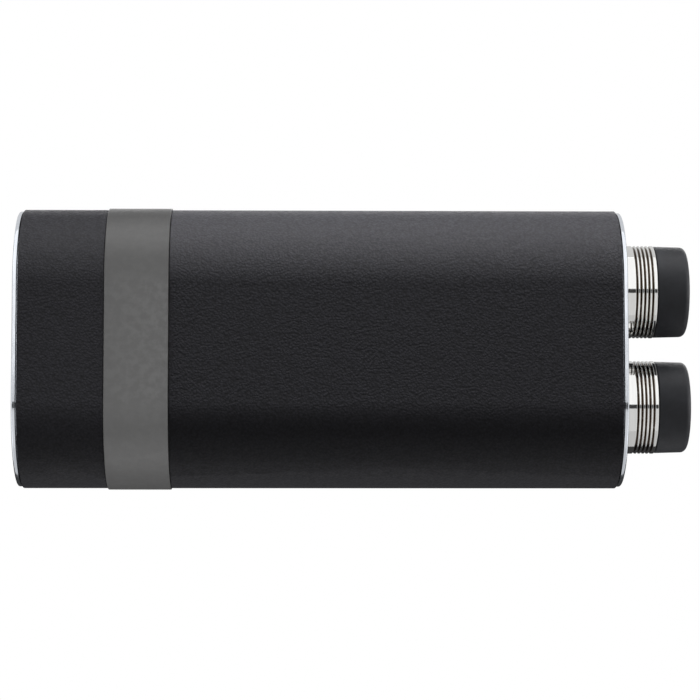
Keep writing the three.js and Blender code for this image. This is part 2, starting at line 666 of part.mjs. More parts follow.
add("board_rail_left", boardRail(1), ALUMINIUM);
add("board_rail_right", boardRail(-1), ALUMINIUM);

// Sockets and light on the rear plate.
function socketBlock(start, end, { halfWidth, halfHeight }) {
  return box(start, end, -halfWidth, halfWidth, SOCKET_HEIGHT - halfHeight, SOCKET_HEIGHT + halfHeight);
}

const socketRim = REAR_FACE - SOCKET_SUNK;
const socketShell = socketBlock(SOCKET_START, socketRim, DATA_SOCKET);
const socketMouth = socketBlock(DATA_MOUTH.start, REAR_FACE + OVERCUT, DATA_MOUTH);
const socketTongue = socketBlock(DATA_TONGUE.start, REAR_FACE - DATA_TONGUE.sunk, DATA_TONGUE);
add("data_socket", join(cut(socketShell, socketMouth), socketTongue), STEEL);

const powerBarrel = [
  [SOCKET_START, 0],
  [SOCKET_START, POWER_SOCKET.radius],
  [socketRim, POWER_SOCKET.radius],
  [socketRim, POWER_SOCKET.mouth],
  [POWER_SOCKET.mouthStart, POWER_SOCKET.mouth],
  [POWER_SOCKET.mouthStart, 0],
];
const powerPin = rod(POWER_PIN.radius, POWER_PIN.start, REAR_FACE - POWER_PIN.sunk, 0, -SOCKET_HEIGHT, 8);
add("power_socket", join(turned(powerBarrel, 0, -SOCKET_HEIGHT, 16), powerPin), BLACK_PLASTIC);
add("status_light", rod(LIGHT.radius, LIGHT.start, REAR_FACE - LIGHT.sunk, 0, LIGHT.z, 10), LIGHT_LENS);

// Coolant line, the same on both sides: pipe, stub, nut, seal, shut-off valve and protective plug.
function stubProfile() {
  const firstGroove = REAR_END + FIRST_GROOVE;
  const profile = [
    [STUB.start, PIPE.radius + FIT],
    [STUB.start, STUB.shank],
    [REAR_FACE + HAIR, STUB.shank],
    [REAR_FACE + HAIR, STUB_RADIUS],
    [firstGroove - GROOVE_PITCH / 2, STUB_RADIUS],
  ];
  for (let index = 0; index < GROOVES; index += 1) {
    const middle = firstGroove + index * GROOVE_PITCH;
    profile.push([middle, STUB_RADIUS - STUB.grooveDepth], [middle + GROOVE_PITCH / 2, STUB_RADIUS]);
  }
  profile.push(
    [STUB_END - STUB.chamfer, STUB_RADIUS],
    [STUB_END, STUB_RADIUS - STUB.chamfer],
    [STUB_END, STUB.bore],
    [STUB.boreStart, STUB.bore],
    [STUB.boreStart, VALVE_SEAT.radius],
    [VALVE_SEAT.x, VALVE_SEAT.radius],
    [VALVE_SEAT.x, VALVE_CHAMBER.radius],
    [VALVE_CHAMBER.start, VALVE_CHAMBER.radius],
    [VALVE_CHAMBER.start, PIPE.radius + FIT],
    [STUB.start, PIPE.radius + FIT],
  );
  return profile;
}

function plugProfile() {
  const headStart = STUB_END + FIT;
  const headRadius = STUB_RADIUS - PLUG.inset;
  const { rounding, steps, dome, taper } = PLUG_EDGE;
  const profile = [
    [PLUG.start, 0],
    [PLUG.start, PLUG.spigot - PLUG.lead],
    [PLUG.start + PLUG.lead, PLUG.spigot],
    [PLUG_GROOVE.start, PLUG.spigot],
    [PLUG_GROOVE.start, PLUG_GROOVE.radius],
    [PLUG_GROOVE.end, PLUG_GROOVE.radius],
    [PLUG_GROOVE.end, PLUG.spigot],
    [headStart, PLUG.spigot],
    [headStart, headRadius],
  ];
  for (let step = 0; step <= steps; step += 1) {
    const angle = (step / steps) * (Math.PI / 2);
    profile.push([
      PLUG_END - dome - rounding * (1 - Math.sin(angle)),
      headRadius - taper - rounding * (1 - Math.cos(angle)),
    ]);
  }
  profile.push([PLUG_END, 0]);
  return profile;
}

class Coil extends THREE.Curve {
  constructor(radius, turns, start, end) {
    super();
    this.radius = radius;
    this.turns = turns;
    this.start = start;
    this.end = end;
  }

  getPoint(t, target = new THREE.Vector3()) {
    const angle = t * this.turns * 2 * Math.PI;
    const x = this.start + t * (this.end - this.start);
    return target.set(x, this.radius * Math.cos(angle), this.radius * Math.sin(angle));
  }
}

function valveSpring(y) {
  const wire = new THREE.Shape().absarc(0, 0, SPRING.wire, 0, 2 * Math.PI, false);
  const route = new Coil(SPRING.radius, SPRING.turns, SPRING.start, SPRING.end);
  const options = { steps: SPRING.steps, curveSegments: 3, extrudePath: route };
  return new THREE.ExtrudeGeometry(wire, options).translate(0, y, 0);
}

const valveProfile = [
  [VALVE.stemStart, 0],
  [VALVE.stemStart, VALVE.stem],
  [VALVE.headStart, VALVE.stem],
  [VALVE.headStart, VALVE.head],
  [VALVE.coneStart, VALVE.head],
  [VALVE_SEAT.x - VALVE_NOSE.seatGap, VALVE.nose],
  [VALVE_NOSE.end, VALVE.nose],
  [VALVE_NOSE.tip, VALVE_NOSE.tipRadius],
  [VALVE_NOSE.tip, 0],
];

for (const [name, y] of Object.entries(PORT_SIDES)) {
  const nutBlank = hexPrism(STUB_NUT.acrossFlats, STUB_NUT.start, REAR_SPIGOT_START - FIT, y, 0);
  const nutBore = rod(STUB.shank + FIT, STUB_NUT.start - OVERCUT, REAR_SPIGOT_START + OVERCUT, y, 0, 20);
  add(`${name}_pipe`, ring(PIPE.radius, PIPE.radius - PIPE.wall, PIPE.start, PIPE.end, y, 0, 16), COPPER);
  add(`${name}_stub`, turned(stubProfile(), y, 0, 28), CHROME);
  const sealX = REAR_FACE - STUB_SEAL.inset;
  add(`${name}_stub_seal`, oRing(STUB_SEAL.radius, STUB_SEAL.thickness, sealX, y), RUBBER);
  add(`${name}_stub_nut`, cut(nutBlank, nutBore), STEEL);
  add(`${name}_valve`, turned(valveProfile, y, 0, 16), BRASS);
  add(`${name}_valve_spring`, valveSpring(y), STEEL);
  add(`${name}_plug`, turned(plugProfile(), y, 0, 28), BLACK_PLASTIC);
  add(`${name}_plug_seal`, oRing(PLUG_SEAL.radius, PLUG_SEAL.thickness, PLUG_SEAL.x, y), RUBBER);
}

export default camera;
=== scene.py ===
import json
import math
import bmesh
import bpy
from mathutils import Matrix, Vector


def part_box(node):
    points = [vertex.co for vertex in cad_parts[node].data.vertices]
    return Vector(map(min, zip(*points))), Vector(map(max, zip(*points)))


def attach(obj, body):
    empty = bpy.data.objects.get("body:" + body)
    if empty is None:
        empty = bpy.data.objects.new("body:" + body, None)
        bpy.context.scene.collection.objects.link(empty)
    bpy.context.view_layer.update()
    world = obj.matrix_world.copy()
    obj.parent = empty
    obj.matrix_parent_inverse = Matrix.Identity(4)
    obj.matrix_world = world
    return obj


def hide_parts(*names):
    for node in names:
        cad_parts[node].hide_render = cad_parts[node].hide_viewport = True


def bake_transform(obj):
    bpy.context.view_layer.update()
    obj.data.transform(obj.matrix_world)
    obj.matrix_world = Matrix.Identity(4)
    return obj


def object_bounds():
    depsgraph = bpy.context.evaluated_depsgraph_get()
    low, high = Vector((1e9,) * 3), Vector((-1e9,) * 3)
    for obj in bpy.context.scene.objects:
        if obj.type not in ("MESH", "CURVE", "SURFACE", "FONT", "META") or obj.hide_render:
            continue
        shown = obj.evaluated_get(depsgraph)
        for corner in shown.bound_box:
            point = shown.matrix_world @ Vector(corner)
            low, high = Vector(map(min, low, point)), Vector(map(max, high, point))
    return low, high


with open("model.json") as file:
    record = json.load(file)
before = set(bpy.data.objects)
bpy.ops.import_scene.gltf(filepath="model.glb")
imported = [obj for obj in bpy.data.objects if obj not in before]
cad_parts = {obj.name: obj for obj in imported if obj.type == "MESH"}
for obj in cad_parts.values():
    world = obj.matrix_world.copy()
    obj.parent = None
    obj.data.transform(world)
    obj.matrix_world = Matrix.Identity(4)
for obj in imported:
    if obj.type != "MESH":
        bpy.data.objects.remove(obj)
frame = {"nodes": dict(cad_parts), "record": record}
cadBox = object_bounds()
nodes = frame["nodes"]
mm = 0.001
print("frame loaded,", len(nodes), "nodes")

# where things are, all read from the frame
sleeveLow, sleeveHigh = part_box("rear_sleeve")
axisZ = (sleeveLow.z + sleeveHigh.z) / 2
shellRadius = (sleeveHigh.z - sleeveLow.z) / 2 / mm
spread = (sleeveHigh.y - sleeveLow.y) / 2 / mm - shellRadius  # from the middle to the axis of a round side
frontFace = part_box("front_plate")[0].x
slotOf = {entry["node"]: entry["material_slot"] for entry in frame["record"]["subparts"]}
ports = {"inlet": spread, "outlet": -spread}


# lengths along the camera, in mm from the face of the front plate
def spanOf(node):
    low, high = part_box(node)
    return (low.x - frontFace) / mm, (high.x - frontFace) / mm


def middleOf(node):
    low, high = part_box(node)
    return (low.y + high.y) / 2 / mm, ((low.z + high.z) / 2 - axisZ) / mm


# mesh work

# a point from mm: along from the front plate's face, then across and up from the middle of the section
def spot(x, y, z):
    return frontFace + x * mm, y * mm, axisZ + z * mm


def turnsRound(steps):
    return [2 * math.pi * step / steps for step in range(steps)]


# rounds the corners of a closed outline of (x, radius, rounding) points
def roundCorners(outline, steps):
    made = []
    count = len(outline)
    for index, (x, radius, rounding) in enumerate(outline):
        corner = Vector((x, radius))
        if rounding <= 0:
            made.append(corner)
            continue
        before = Vector(outline[index - 1][:2]) - corner
        after = Vector(outline[(index + 1) % count][:2]) - corner
        half = before.angle(after) / 2
        reach = min(rounding / math.tan(half), before.length * 0.48, after.length * 0.48)
        inward = (before.normalized() + after.normalized()).normalized()
        centre = corner + inward * (reach / math.cos(half))
        start = corner + before.normalized() * reach - centre
        end = corner + after.normalized() * reach - centre
        sweep = start.angle(end)
        for step in range(steps + 1):
            share = step / steps
            arm = start * math.sin((1 - share) * sweep) + end * math.sin(share * sweep)
            made.append(centre + arm / math.sin(sweep))
    return [(point.x, point.y) for point in made]


# directions round the section; on a flat side the same direction comes twice, close to each round side
def aroundSection(flat, steps):
    if flat == 0:
        return [(math.cos(turn), math.sin(turn), 0.0) for turn in turnsRound(steps)]
    half = steps // 2
    edge = flat - 0.3
    made = []
    for side in (1, -1):
        for step in range(half + 1):
            turn = math.pi * (step / half - 0.5) + (0 if side > 0 else math.pi)
            made.append((math.cos(turn), math.sin(turn), side * flat))
        made.append((0.0, float(side), side * edge))
        made.append((0.0, float(side), -side * edge))
    return made


# carries a closed outline round the section; outline may be a function of the share of the turn
def carryRound(outline, flat, centre, steps):
    bm = bmesh.new()
    stations = aroundSection(flat, steps)
    rings = []
    for index, (across, up, shift) in enumerate(stations):
        points = outline(index / len(stations)) if callable(outline) else outline
        ring = []
        for x, radius in points:
            y = centre[0] + shift + radius * across
            z = centre[1] + radius * up
            ring.append(bm.verts.new(spot(x, y, z)))
        rings.append((ring, points))
    for index, (ring, points) in enumerate(rings):
        after = rings[(index + 1) % len(rings)][0]
        for here in range(len(ring)):
            there = (here + 1) % len(ring)
            if points[here][1] < 1e-6 and points[there][1] < 1e-6:
                continue
            bm.faces.new((ring[here], ring[there], after[there], after[here]))
    bmesh.ops.remove_doubles(bm, verts=bm.verts, dist=1e-7)
    bmesh.ops.recalc_face_normals(bm, faces=bm.faces)
    return bm


# a box with softened edges
def softBox(along, across, up, edge):
    bm = bmesh.new()
    bmesh.ops.create_cube(bm, size=1.0)
    for vert in bm.verts:
        x = along[0] + (vert.co.x + 0.5) * (along[1] - along[0])
        y = across[0] + (vert.co.y + 0.5) * (across[1] - across[0])
        z = up[0] + (vert.co.z + 0.5) * (up[1] - up[0])
        vert.co = spot(x, y, z)
    if edge:
        bmesh.ops.bevel(bm, geom=bm.edges[:], offset=edge * mm, segments=2, profile=0.5, affect="EDGES")
    return bm


# closes a list of rings of points, in mm, into a solid
def skinRings(rings):
    bm = bmesh.new()
    made = []
    for ring in rings:
        made.append([bm.verts.new(spot(*point)) for point in ring])
    for lower, upper in zip(made, made[1:]):
        for here in range(len(lower)):
            there = (here + 1) % len(lower)
            bm.faces.new((lower[here], lower[there], upper[there], upper[here]))
    bm.faces.new(made[0])
    bm.faces.new(made[-1])
    bmesh.ops.recalc_face_normals(bm, faces=bm.faces)
    return bm


# a bar along the camera with rounded long edges, and its two end rims chamfered
def roundedBar(start, end, halfY, halfZ, corner, chamfer, centre=(0.0, 0.0), steps=6):
    rings = []
    for x, grow in ((start, -chamfer), (start + chamfer, 0), (end - chamfer, 0), (end, -chamfer)):
        ring = []
        for quarter, (sideY, sideZ) in enumerate(((1, 1), (-1, 1), (-1, -1), (1, -1))):
            for step in range(steps + 1):
                turn = math.pi / 2 * (quarter + step / steps)
                y = centre[0] + sideY * (halfY - corner) + math.cos(turn) * (corner + grow)
                z = centre[1] + sideZ * (halfZ - corner) + math.sin(turn) * (corner + grow)
                ring.append((x, y, z))
        if not rings or ring[0] != rings[-1][0]:
            rings.append(ring)
    return skinRings(rings)


# an outline with its corners rounded, carried round an axis or round the section
def turned(outline, rounding, centre=(0, 0), steps=160, flat=0):
    return carryRound(roundCorners(outline, rounding), flat, centre, steps)


# several shapes as one; kinds gives each its place in the piece's list of finishes
def joinShapes(shapes, kinds=None):
    joined = bmesh.new()
    for index, shape in enumerate(shapes):
        mesh = bpy.data.meshes.new("part")
        shape.to_mesh(mesh)
        before = len(joined.faces)
        joined.from_mesh(mesh)
        joined.faces.ensure_lookup_table()
        if kinds:
            for face in joined.faces[before:]:
                face.material_index = kinds[index]
        bpy.data.meshes.remove(mesh)
        shape.free()
    return joined


def addObject(name, data):
    made = bpy.data.objects.new(name, data)
    bpy.context.scene.collection.objects.link(made)
    return made


# what is left of a shape when the cutters are taken out of it
def cutAway(shape, cutters):
    tool = joinShapes(cutters)
    objects = []
    for name, source in (("blank", shape), ("tool", tool)):
        mesh = bpy.data.meshes.new(name)
        source.to_mesh(mesh)
        source.free()
        objects.append(addObject(name, mesh))
    blank, toolObject = objects
    step = blank.modifiers.new("cut", "BOOLEAN")
    step.operation = "DIFFERENCE"
    step.solver = "EXACT"
    step.object = toolObject
    bpy.context.view_layer.update()
    graph = bpy.context.evaluated_depsgraph_get()
    result = bpy.data.meshes.new_from_object(blank.evaluated_get(graph))
    done = bmesh.new()
    done.from_mesh(result)
    for made in objects:
        bpy.data.objects.remove(made)
    return done


# the lights are shared out between these groups of pieces
newGroup = bpy.data.collections.new
brightPieces = newGroup("bright pieces")
bandPieces = newGroup("band pieces")
darkPieces = newGroup("dark pieces")
lowPlusPieces = newGroup("bright pieces lit from low on plus y")
lowMinusPieces = newGroup("bright pieces lit from low on minus y")
fullKey = newGroup("dark pieces in the full key")
sleeveKey = newGroup("front sleeve")
plugKey = newGroup("plugs")
endPieces = newGroup("dark pieces but the sleeves")
litLike = {
    "polished_plate": brightPieces, "chrome_plate": brightPieces, "steel": brightPieces,
    "grey_coat": bandPieces,
}


# chooses the lights that fall on a piece
def lightPiece(piece, main):
    group = litLike.get(main, darkPieces)
    group.objects.link(piece)
    if group == darkPieces and main != "black_coat":
        endPieces.objects.link(piece)
    if group == brightPieces:
        if piece.name != "inlet_stub":
            lowMinusPieces.objects.link(piece)
        if piece.name != "outlet_stub":
            lowPlusPieces.objects.link(piece)
    elif piece.name.startswith("front_sleeve"):
        sleeveKey.objects.link(piece)
    elif main == "plug_plastic":
        plugKey.objects.link(piece)
    elif group == darkPieces:
        fullKey.objects.link(piece)


# turns a shape into a finished piece that rides on a body, or stays where it is when given more than one,
# and stands for a node
def placePiece(name, shape, finish, body="housing", sharp=30):
    kinds = [finish] if isinstance(finish, str) else finish
    mesh = bpy.data.meshes.new(name)
    shape.to_mesh(mesh)
    shape.free()
    mesh.polygons.foreach_set("use_smooth", [True] * len(mesh.polygons))
    mesh.set_sharp_from_angle(angle=math.radians(sharp))
    piece = addObject(name, mesh)
    for kind in kinds:
        mesh.materials.append(finishes[kind])
    if isinstance(body, str):
        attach(piece, body)
    else:
        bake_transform(piece)
    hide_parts(name)
    lightPiece(piece, kinds[0])


# finishes

finishes = {}


# gives an input of a node a fixed value, or links it when the value is another node's output
def give(node, key, value):
    if hasattr(value, "is_linked"):
        node.id_data.links.new(value, node.inputs[key])
    else:
        node.inputs[key].default_value = value


def addNode(tree, kind, inputs=None, **settings):
    node = tree.nodes.new("ShaderNode" + kind)
    for key, value in settings.items():
        setattr(node, key, value)
    for key, value in (inputs or {}).items():
        give(node, key, value)
    return node


def grey(level, tint=(1.0, 1.0, 1.0)):
    return (level * tint[0], level * tint[1], level * tint[2], 1.0)


def mapRange(tree, value, low, high, newLow=0.0, newHigh=1.0):
    inputs = {"Value": value, "From Min": low, "From Max": high, "To Min": newLow, "To Max": newHigh}
    return addNode(tree, "MapRange", inputs).outputs["Result"]


# 0 to 1, patchy, with features of about size mm
def patches(tree, place, size, detail=3.0, low=0.35, high=0.65, stretch=(1, 1, 1)):
    aim = addNode(tree, "Mapping", {"Vector": place, "Scale": stretch}).outputs["Vector"]
    inputs = {"Vector": aim, "Scale": 1000 / size, "Detail": detail, "Roughness": 0.6}
    return mapRange(tree, addNode(tree, "TexNoise", inputs).outputs["Fac"], low, high)


def blendColours(tree, share, first, second, kind="MIX"):
    inputs = {0: share, 6: first, 7: second}
    return addNode(tree, "Mix", inputs, data_type="RGBA", blend_type=kind).outputs[2]


def calculate(tree, operation, first, second=0.0):
    return addNode(tree, "Math", {0: first, 1: second}, operation=operation).outputs[0]


# bright worn edges: 0 on flats and 1 on outer edges, broken up by patches
wearLook = {"start": 0.515, "end": 0.56, "patchSize": 3.0}


def wornEdges(tree, place):
    edges = addNode(tree, "NewGeometry").outputs["Pointiness"]
    worn = mapRange(tree, edges, wearLook["start"], wearLook["end"])
    return calculate(tree, "MULTIPLY", worn, patches(tree, place, wearLook["patchSize"], 4.0, 0.42, 0.6))


def addBump(tree, height, depth, before=None):
    inputs = {"Strength": 1.0, "Distance": depth * mm, "Height": height}
    if before:
        inputs["Normal"] = before
    return addNode(tree, "Bump", inputs).outputs["Normal"]


# what already feeds an input of the shader
def feeding(shader, name):
    return shader.inputs[name].links[0].from_socket


# a finish from one dictionary: two colours, how patchy, how rough, how bumpy and how worn
def makeFinish(name, look):
    material = bpy.data.materials.new(name)
    material.use_nodes = True
    tree = material.node_tree
    shader = tree.nodes["Principled BSDF"]
    place = addNode(tree, "TexCoord").outputs["Object"]
    stretch = look.get("stretch", (1, 1, 1))
    mottle = patches(tree, place, look["patchSize"], 4.0, 0.3, 0.7, stretch)
    colour = blendColours(tree, mottle, look["colour"], look["second"])
    if "worn" in look:
        colour = blendColours(tree, wornEdges(tree, place), colour, look["worn"])
    rough = patches(tree, place, look["roughSize"], 5.0, 0.3, 0.7, stretch)
    normal = None
    for size, depth, detail in look["bumps"]:
        normal = addBump(tree, patches(tree, place, size, detail, 0.2, 0.8, stretch), depth, normal)
    give(shader, "Base Color", colour)
    give(shader, "Roughness", mapRange(tree, rough, 0.0, 1.0, *look["rough"]))
    give(shader, "Normal", normal)
    give(shader, "Metallic", look.get("metal", 0.0))
    give(shader, "Specular IOR Level", look.get("shine", 0.5))
    give(shader, "Coat Weight", look.get("coat", 0.0))
    give(shader, "Coat Roughness", 0.15)
    finishes[name] = material
    return tree, shader, place


# wrinkle-coat paint of the sleeves: very dark, slightly blue, with a fine pebbled skin and painted shade in
# the creases between pebbles
blackCoat = {
    "colour": grey(0.036, (0.97, 0.96, 1.1)),
    "second": grey(0.046, (0.97, 0.96, 1.12)),
    "patchSize": 1.4,
    "roughSize": 2.0,
    "rough": (0.6, 0.78),
    "shine": 0.16,
    "bumps": [(0.35, 0.02, 2.0)],
    "pebbleSize": 0.78,
    "pebbleDepth": 0.12,
    "warpScale": 700.0,
    "warp": 0.0006,
    "creaseShade": grey(0.018),
    "creaseShadeShare": 0.45,
}
tree, shader, place = makeFinish("black_coat", blackCoat)
warp = addNode(tree, "TexNoise", {"Vector": place, "Scale": blackCoat["warpScale"], "Detail": 2.0})
warpInputs = {0: warp.outputs["Color"], 1: (blackCoat["warp"],) * 3, 2: place}
shifted = addNode(tree, "VectorMath", warpInputs, operation="MULTIPLY_ADD").outputs["Vector"]
pebbleInputs = {"Vector": shifted, "Scale": 1000 / blackCoat["pebbleSize"], "Randomness": 1.0}
pebbles = addNode(tree, "TexVoronoi", pebbleInputs, feature="F1").outputs["Distance"]
pebbled = calculate(tree, "SUBTRACT", 1.0, pebbles)
give(shader, "Normal", addBump(tree, pebbled, blackCoat["pebbleDepth"], feeding(shader, "Normal")))
# painted shade: darker colour in the creases between the pebbles
creaseShadeMask = mapRange(tree, pebbles, 0.25, 0.75, 0.0, blackCoat["creaseShadeShare"])
give(shader, "Base Color", blendColours(tree, creaseShadeMask, feeding(shader, "Base Color"), blackCoat["creaseShade"]))

# chrome of the stubs: turning marks round the axis, and painted shade, warm-tinted, in the grooves
chromePlate = {
    "colour": (0.84, 0.84, 0.83, 1),
    "second": (0.91, 0.91, 0.89, 1),
    "patchSize": 7.0,
    "roughSize": 0.5,
    "rough": (0.03, 0.1),
    "metal": 1.0,
    "stretch": (4, 0.25, 0.25),
    "bumps": [(0.3, 0.001, 3.0)],
    "grooveShadeRadii": (15.9, 15.45),  # painted shade grows from the land to the bottom of a groove
    "plainRadius": 15.1,  # no painted shade inside this, on the end face and in the bore
    "grooveShade": (0.12, 0.088, 0.06, 1),
    "grooveShadeShare": 0.95,
    "grooveShadePatch": 1.5,
}
tree, shader, place = makeFinish("chrome_plate", chromePlate)
# distance from the axis of whichever stub is nearer
parts = addNode(tree, "SeparateXYZ", {0: place})
sideways = calculate(tree, "SUBTRACT", calculate(tree, "ABSOLUTE", parts.outputs["Y"]), spread * mm)
upward = calculate(tree, "SUBTRACT", parts.outputs["Z"], axisZ)
acrossSquare = calculate(tree, "POWER", sideways, 2.0)
upSquare = calculate(tree, "POWER", upward, 2.0)
fromAxis = calculate(tree, "SQRT", calculate(tree, "ADD", acrossSquare, upSquare))
unshadedRadius, shadedRadius = chromePlate["grooveShadeRadii"]
# painted shade: the chrome is darkened towards the bottom of each groove
dip = mapRange(tree, fromAxis, unshadedRadius * mm, shadedRadius * mm, 0.0, chromePlate["grooveShadeShare"])
grooved = calculate(tree, "GREATER_THAN", fromAxis, chromePlate["plainRadius"] * mm)
grooveShadePatches = patches(tree, place, chromePlate["grooveShadePatch"], 4.0, 0.1, 0.4)
grooveShade = calculate(tree, "MULTIPLY", dip, calculate(tree, "MULTIPLY", grooved, grooveShadePatches))
give(shader, "Base Color", blendColours(tree, grooveShade, feeding(shader, "Base Color"), chromePlate["grooveShade"]))

# finishes that need no more than the shared recipe
plainFinishes = {
    "grey_coat": {  # satin paint of the band
        "colour": grey(0.108), "second": grey(0.113, (1.0, 0.99, 0.98)), "worn": grey(0.16),
        "patchSize": 1.0, "roughSize": 1.2, "rough": (0.42, 0.56), "shine": 0.3,
        "bumps": [(0.35, 0.006, 3.0)],
    },
    "polished_plate": {  # bright, a little blue, with faint lengthwise lapping marks
        "colour": (0.80, 0.84, 0.90, 1), "second": (0.88, 0.91, 0.96, 1), "metal": 1.0,
        "patchSize": 9.0, "roughSize": 2.5, "rough": (0.08, 0.2), "stretch": (3, 0.4, 1),
        "bumps": [(0.25, 0.0015, 4.0), (14.0, 0.002, 1.0)],
    },
    "plug_plastic": {  # moulded plastic with a slightly uneven skin
        "colour": grey(0.033, (0.97, 1.0, 1.1)), "second": grey(0.041, (0.97, 1.0, 1.12)),
        "worn": grey(0.075), "patchSize": 4.0, "roughSize": 0.7, "rough": (0.5, 0.68), "shine": 0.18,
        "bumps": [(0.22, 0.012, 3.0), (5.0, 0.03, 1.0)],
    },
    "black_plastic": {
        "colour": grey(0.02), "second": grey(0.032), "worn": grey(0.07),
        "patchSize": 3.0, "roughSize": 0.8, "rough": (0.4, 0.6), "shine": 0.4,
        "bumps": [(0.3, 0.01, 3.0)],
    },
    "black_anodised": {
        "colour": grey(0.026, (0.98, 0.98, 1.1)), "second": grey(0.032, (1.0, 0.98, 1.06)),
        "worn": grey(0.06), "patchSize": 2.0, "roughSize": 0.4, "rough": (0.3, 0.45), "metal": 0.3,
        "bumps": [(0.15, 0.004, 2.0)],
    },
    "aluminium": {  # milled, with marks along the camera
        "colour": (0.55, 0.56, 0.57, 1), "second": (0.66, 0.66, 0.67, 1), "worn": (0.8, 0.8, 0.8, 1),
        "patchSize": 8.0, "roughSize": 0.6, "rough": (0.25, 0.42), "metal": 1.0,
        "stretch": (0.3, 3, 3), "bumps": [(0.2, 0.004, 3.0)],
    },
    "steel": {
        "colour": (0.42, 0.42, 0.43, 1), "second": (0.56, 0.55, 0.54, 1), "worn": (0.75, 0.75, 0.76, 1),
        "patchSize": 3.0, "roughSize": 0.5, "rough": (0.2, 0.36), "metal": 1.0,
        "bumps": [(0.2, 0.004, 3.0)],
    },
    "copper": {
        "colour": (0.72, 0.34, 0.19, 1), "second": (0.5, 0.22, 0.13, 1), "worn": (0.9, 0.55, 0.4, 1),
        "patchSize": 7.0, "roughSize": 1.0, "rough": (0.22, 0.42), "metal": 1.0,
        "bumps": [(0.25, 0.005, 3.0)],
    },
    "brass": {
        "colour": (0.72, 0.5, 0.2, 1), "second": (0.56, 0.37, 0.14, 1), "worn": (0.9, 0.74, 0.4, 1),
        "patchSize": 4.0, "roughSize": 0.8, "rough": (0.18, 0.34), "metal": 1.0,
        "bumps": [(0.2, 0.004, 3.0)],
    },
    "rubber": {
        "colour": grey(0.012), "second": grey(0.024), "shine": 0.35,
        "patchSize": 2.0, "roughSize": 0.5, "rough": (0.6, 0.85), "bumps": [(0.18, 0.01, 3.0)],
    },
    "ceramic": {
        "colour": (0.74, 0.72, 0.67, 1), "second": (0.82, 0.81, 0.77, 1),
        "patchSize": 3.0, "roughSize": 0.5, "rough": (0.45, 0.65), "bumps": [(0.12, 0.006, 3.0)],
    },
    "gold": {  # bond pads
        "colour": (0.83, 0.6, 0.25, 1), "second": (0.74, 0.5, 0.18, 1), "metal": 1.0,
        "patchSize": 0.6, "roughSize": 0.3, "rough": (0.18, 0.3), "bumps": [(0.1, 0.002, 2.0)],
    },
    "telluride": {  # pellets of the cooler
        "colour": (0.2, 0.2, 0.21, 1), "second": (0.3, 0.29, 0.3, 1), "metal": 0.8,
        "patchSize": 0.5, "roughSize": 0.3, "rough": (0.35, 0.6), "bumps": [(0.15, 0.01, 3.0)],
    },
    "amber_film": {  # flexible lead
        "colour": (0.42, 0.17, 0.03, 1), "second": (0.52, 0.23, 0.05, 1), "coat": 0.4,
        "patchSize": 5.0, "roughSize": 1.0, "rough": (0.25, 0.4), "bumps": [(0.8, 0.01, 2.0)],
    },
    "light_lens": {
        "colour": (0.36, 0.62, 0.4, 1), "second": (0.46, 0.7, 0.5, 1), "coat": 0.5,
        "patchSize": 0.6, "roughSize": 0.4, "rough": (0.12, 0.25), "bumps": [(0.5, 0.01, 1.0)],
    },
}
for name, look in plainFinishes.items():
    makeFinish(name, look)


# circuit boards: woven mask over copper tracks, with pale pads
boardSkin = {
    "patchSize": 6.0, "roughSize": 1.0, "rough": (0.25, 0.4), "coat": 0.3, "bumps": [(0.3, 0.004, 2.0)],
    "pad": (0.62, 0.58, 0.48, 1), "padShare": 0.24, "trackDepth": 0.03,
}
boardFinishes = {
    "green_board": {
        "colour": (0.012, 0.085, 0.035, 1), "second": (0.018, 0.11, 0.045, 1),
        "track": (0.03, 0.19, 0.07, 1), "trackPitch": 2.2, "padPitch": 2.6,
    },
    "blue_board": {
        "colour": (0.01, 0.03, 0.095, 1), "second": (0.014, 0.04, 0.12, 1),
        "track": (0.025, 0.07, 0.2, 1), "trackPitch": 3.0, "padPitch": 3.4,
    },
}


def makeBoard(name, look):
    tree, shader, place = makeFinish(name, look)
    tracks = addNode(tree, "TexBrick", {
        "Vector": place, "Color1": grey(1.0), "Color2": grey(0.6), "Mortar": grey(0.0),
        "Scale": 1000 / look["trackPitch"], "Mortar Size": 0.09, "Brick Width": 3.4, "Row Height": 0.35,
    }).outputs["Fac"]
    padInputs = {"Vector": place, "Scale": 1000 / look["padPitch"], "Randomness": 0.35}
    pads = addNode(tree, "TexVoronoi", padInputs, distance="CHEBYCHEV")
    padMask = calculate(tree, "LESS_THAN", pads.outputs["Distance"], look["padShare"])
    tracked = blendColours(tree, tracks, feeding(shader, "Base Color"), look["track"])
    give(shader, "Base Color", blendColours(tree, padMask, tracked, look["pad"]))
    give(shader, "Normal", addBump(tree, tracks, look["trackDepth"], feeding(shader, "Normal")))


for name, look in boardFinishes.items():
    makeBoard(name, {**boardSkin, **look})

# silicon: a fine cell grid whose colour drifts from violet to green
silicon = {
    "colour": (0.05, 0.035, 0.11, 1),
    "second": (0.02, 0.09, 0.075, 1),
    "patchSize": 11.0,
    "roughSize": 4.0,
    "rough": (0.12, 0.2),
    "metal": 0.7,
    "bumps": [(6.0, 0.003, 1.0)],
    "cellPitch": 0.12,
}
tree, shader, place = makeFinish("silicon", silicon)
faceOn = addNode(tree, "Mapping", {"Vector": place, "Rotation": (0, math.radians(90), 0)})
cells = addNode(tree, "TexBrick", {
    "Vector": faceOn.outputs["Vector"],
    "Color1": grey(1.0), "Color2": grey(0.92), "Mortar": grey(0.35),
    "Scale": 1000 / silicon["cellPitch"], "Mortar Size": 0.08, "Brick Width": 1.0, "Row Height": 1.0,
}, offset=0.0).outputs["Color"]
give(shader, "Base Color", blendColours(tree, 1.0, feeding(shader, "Base Color"), cells, "MULTIPLY"))

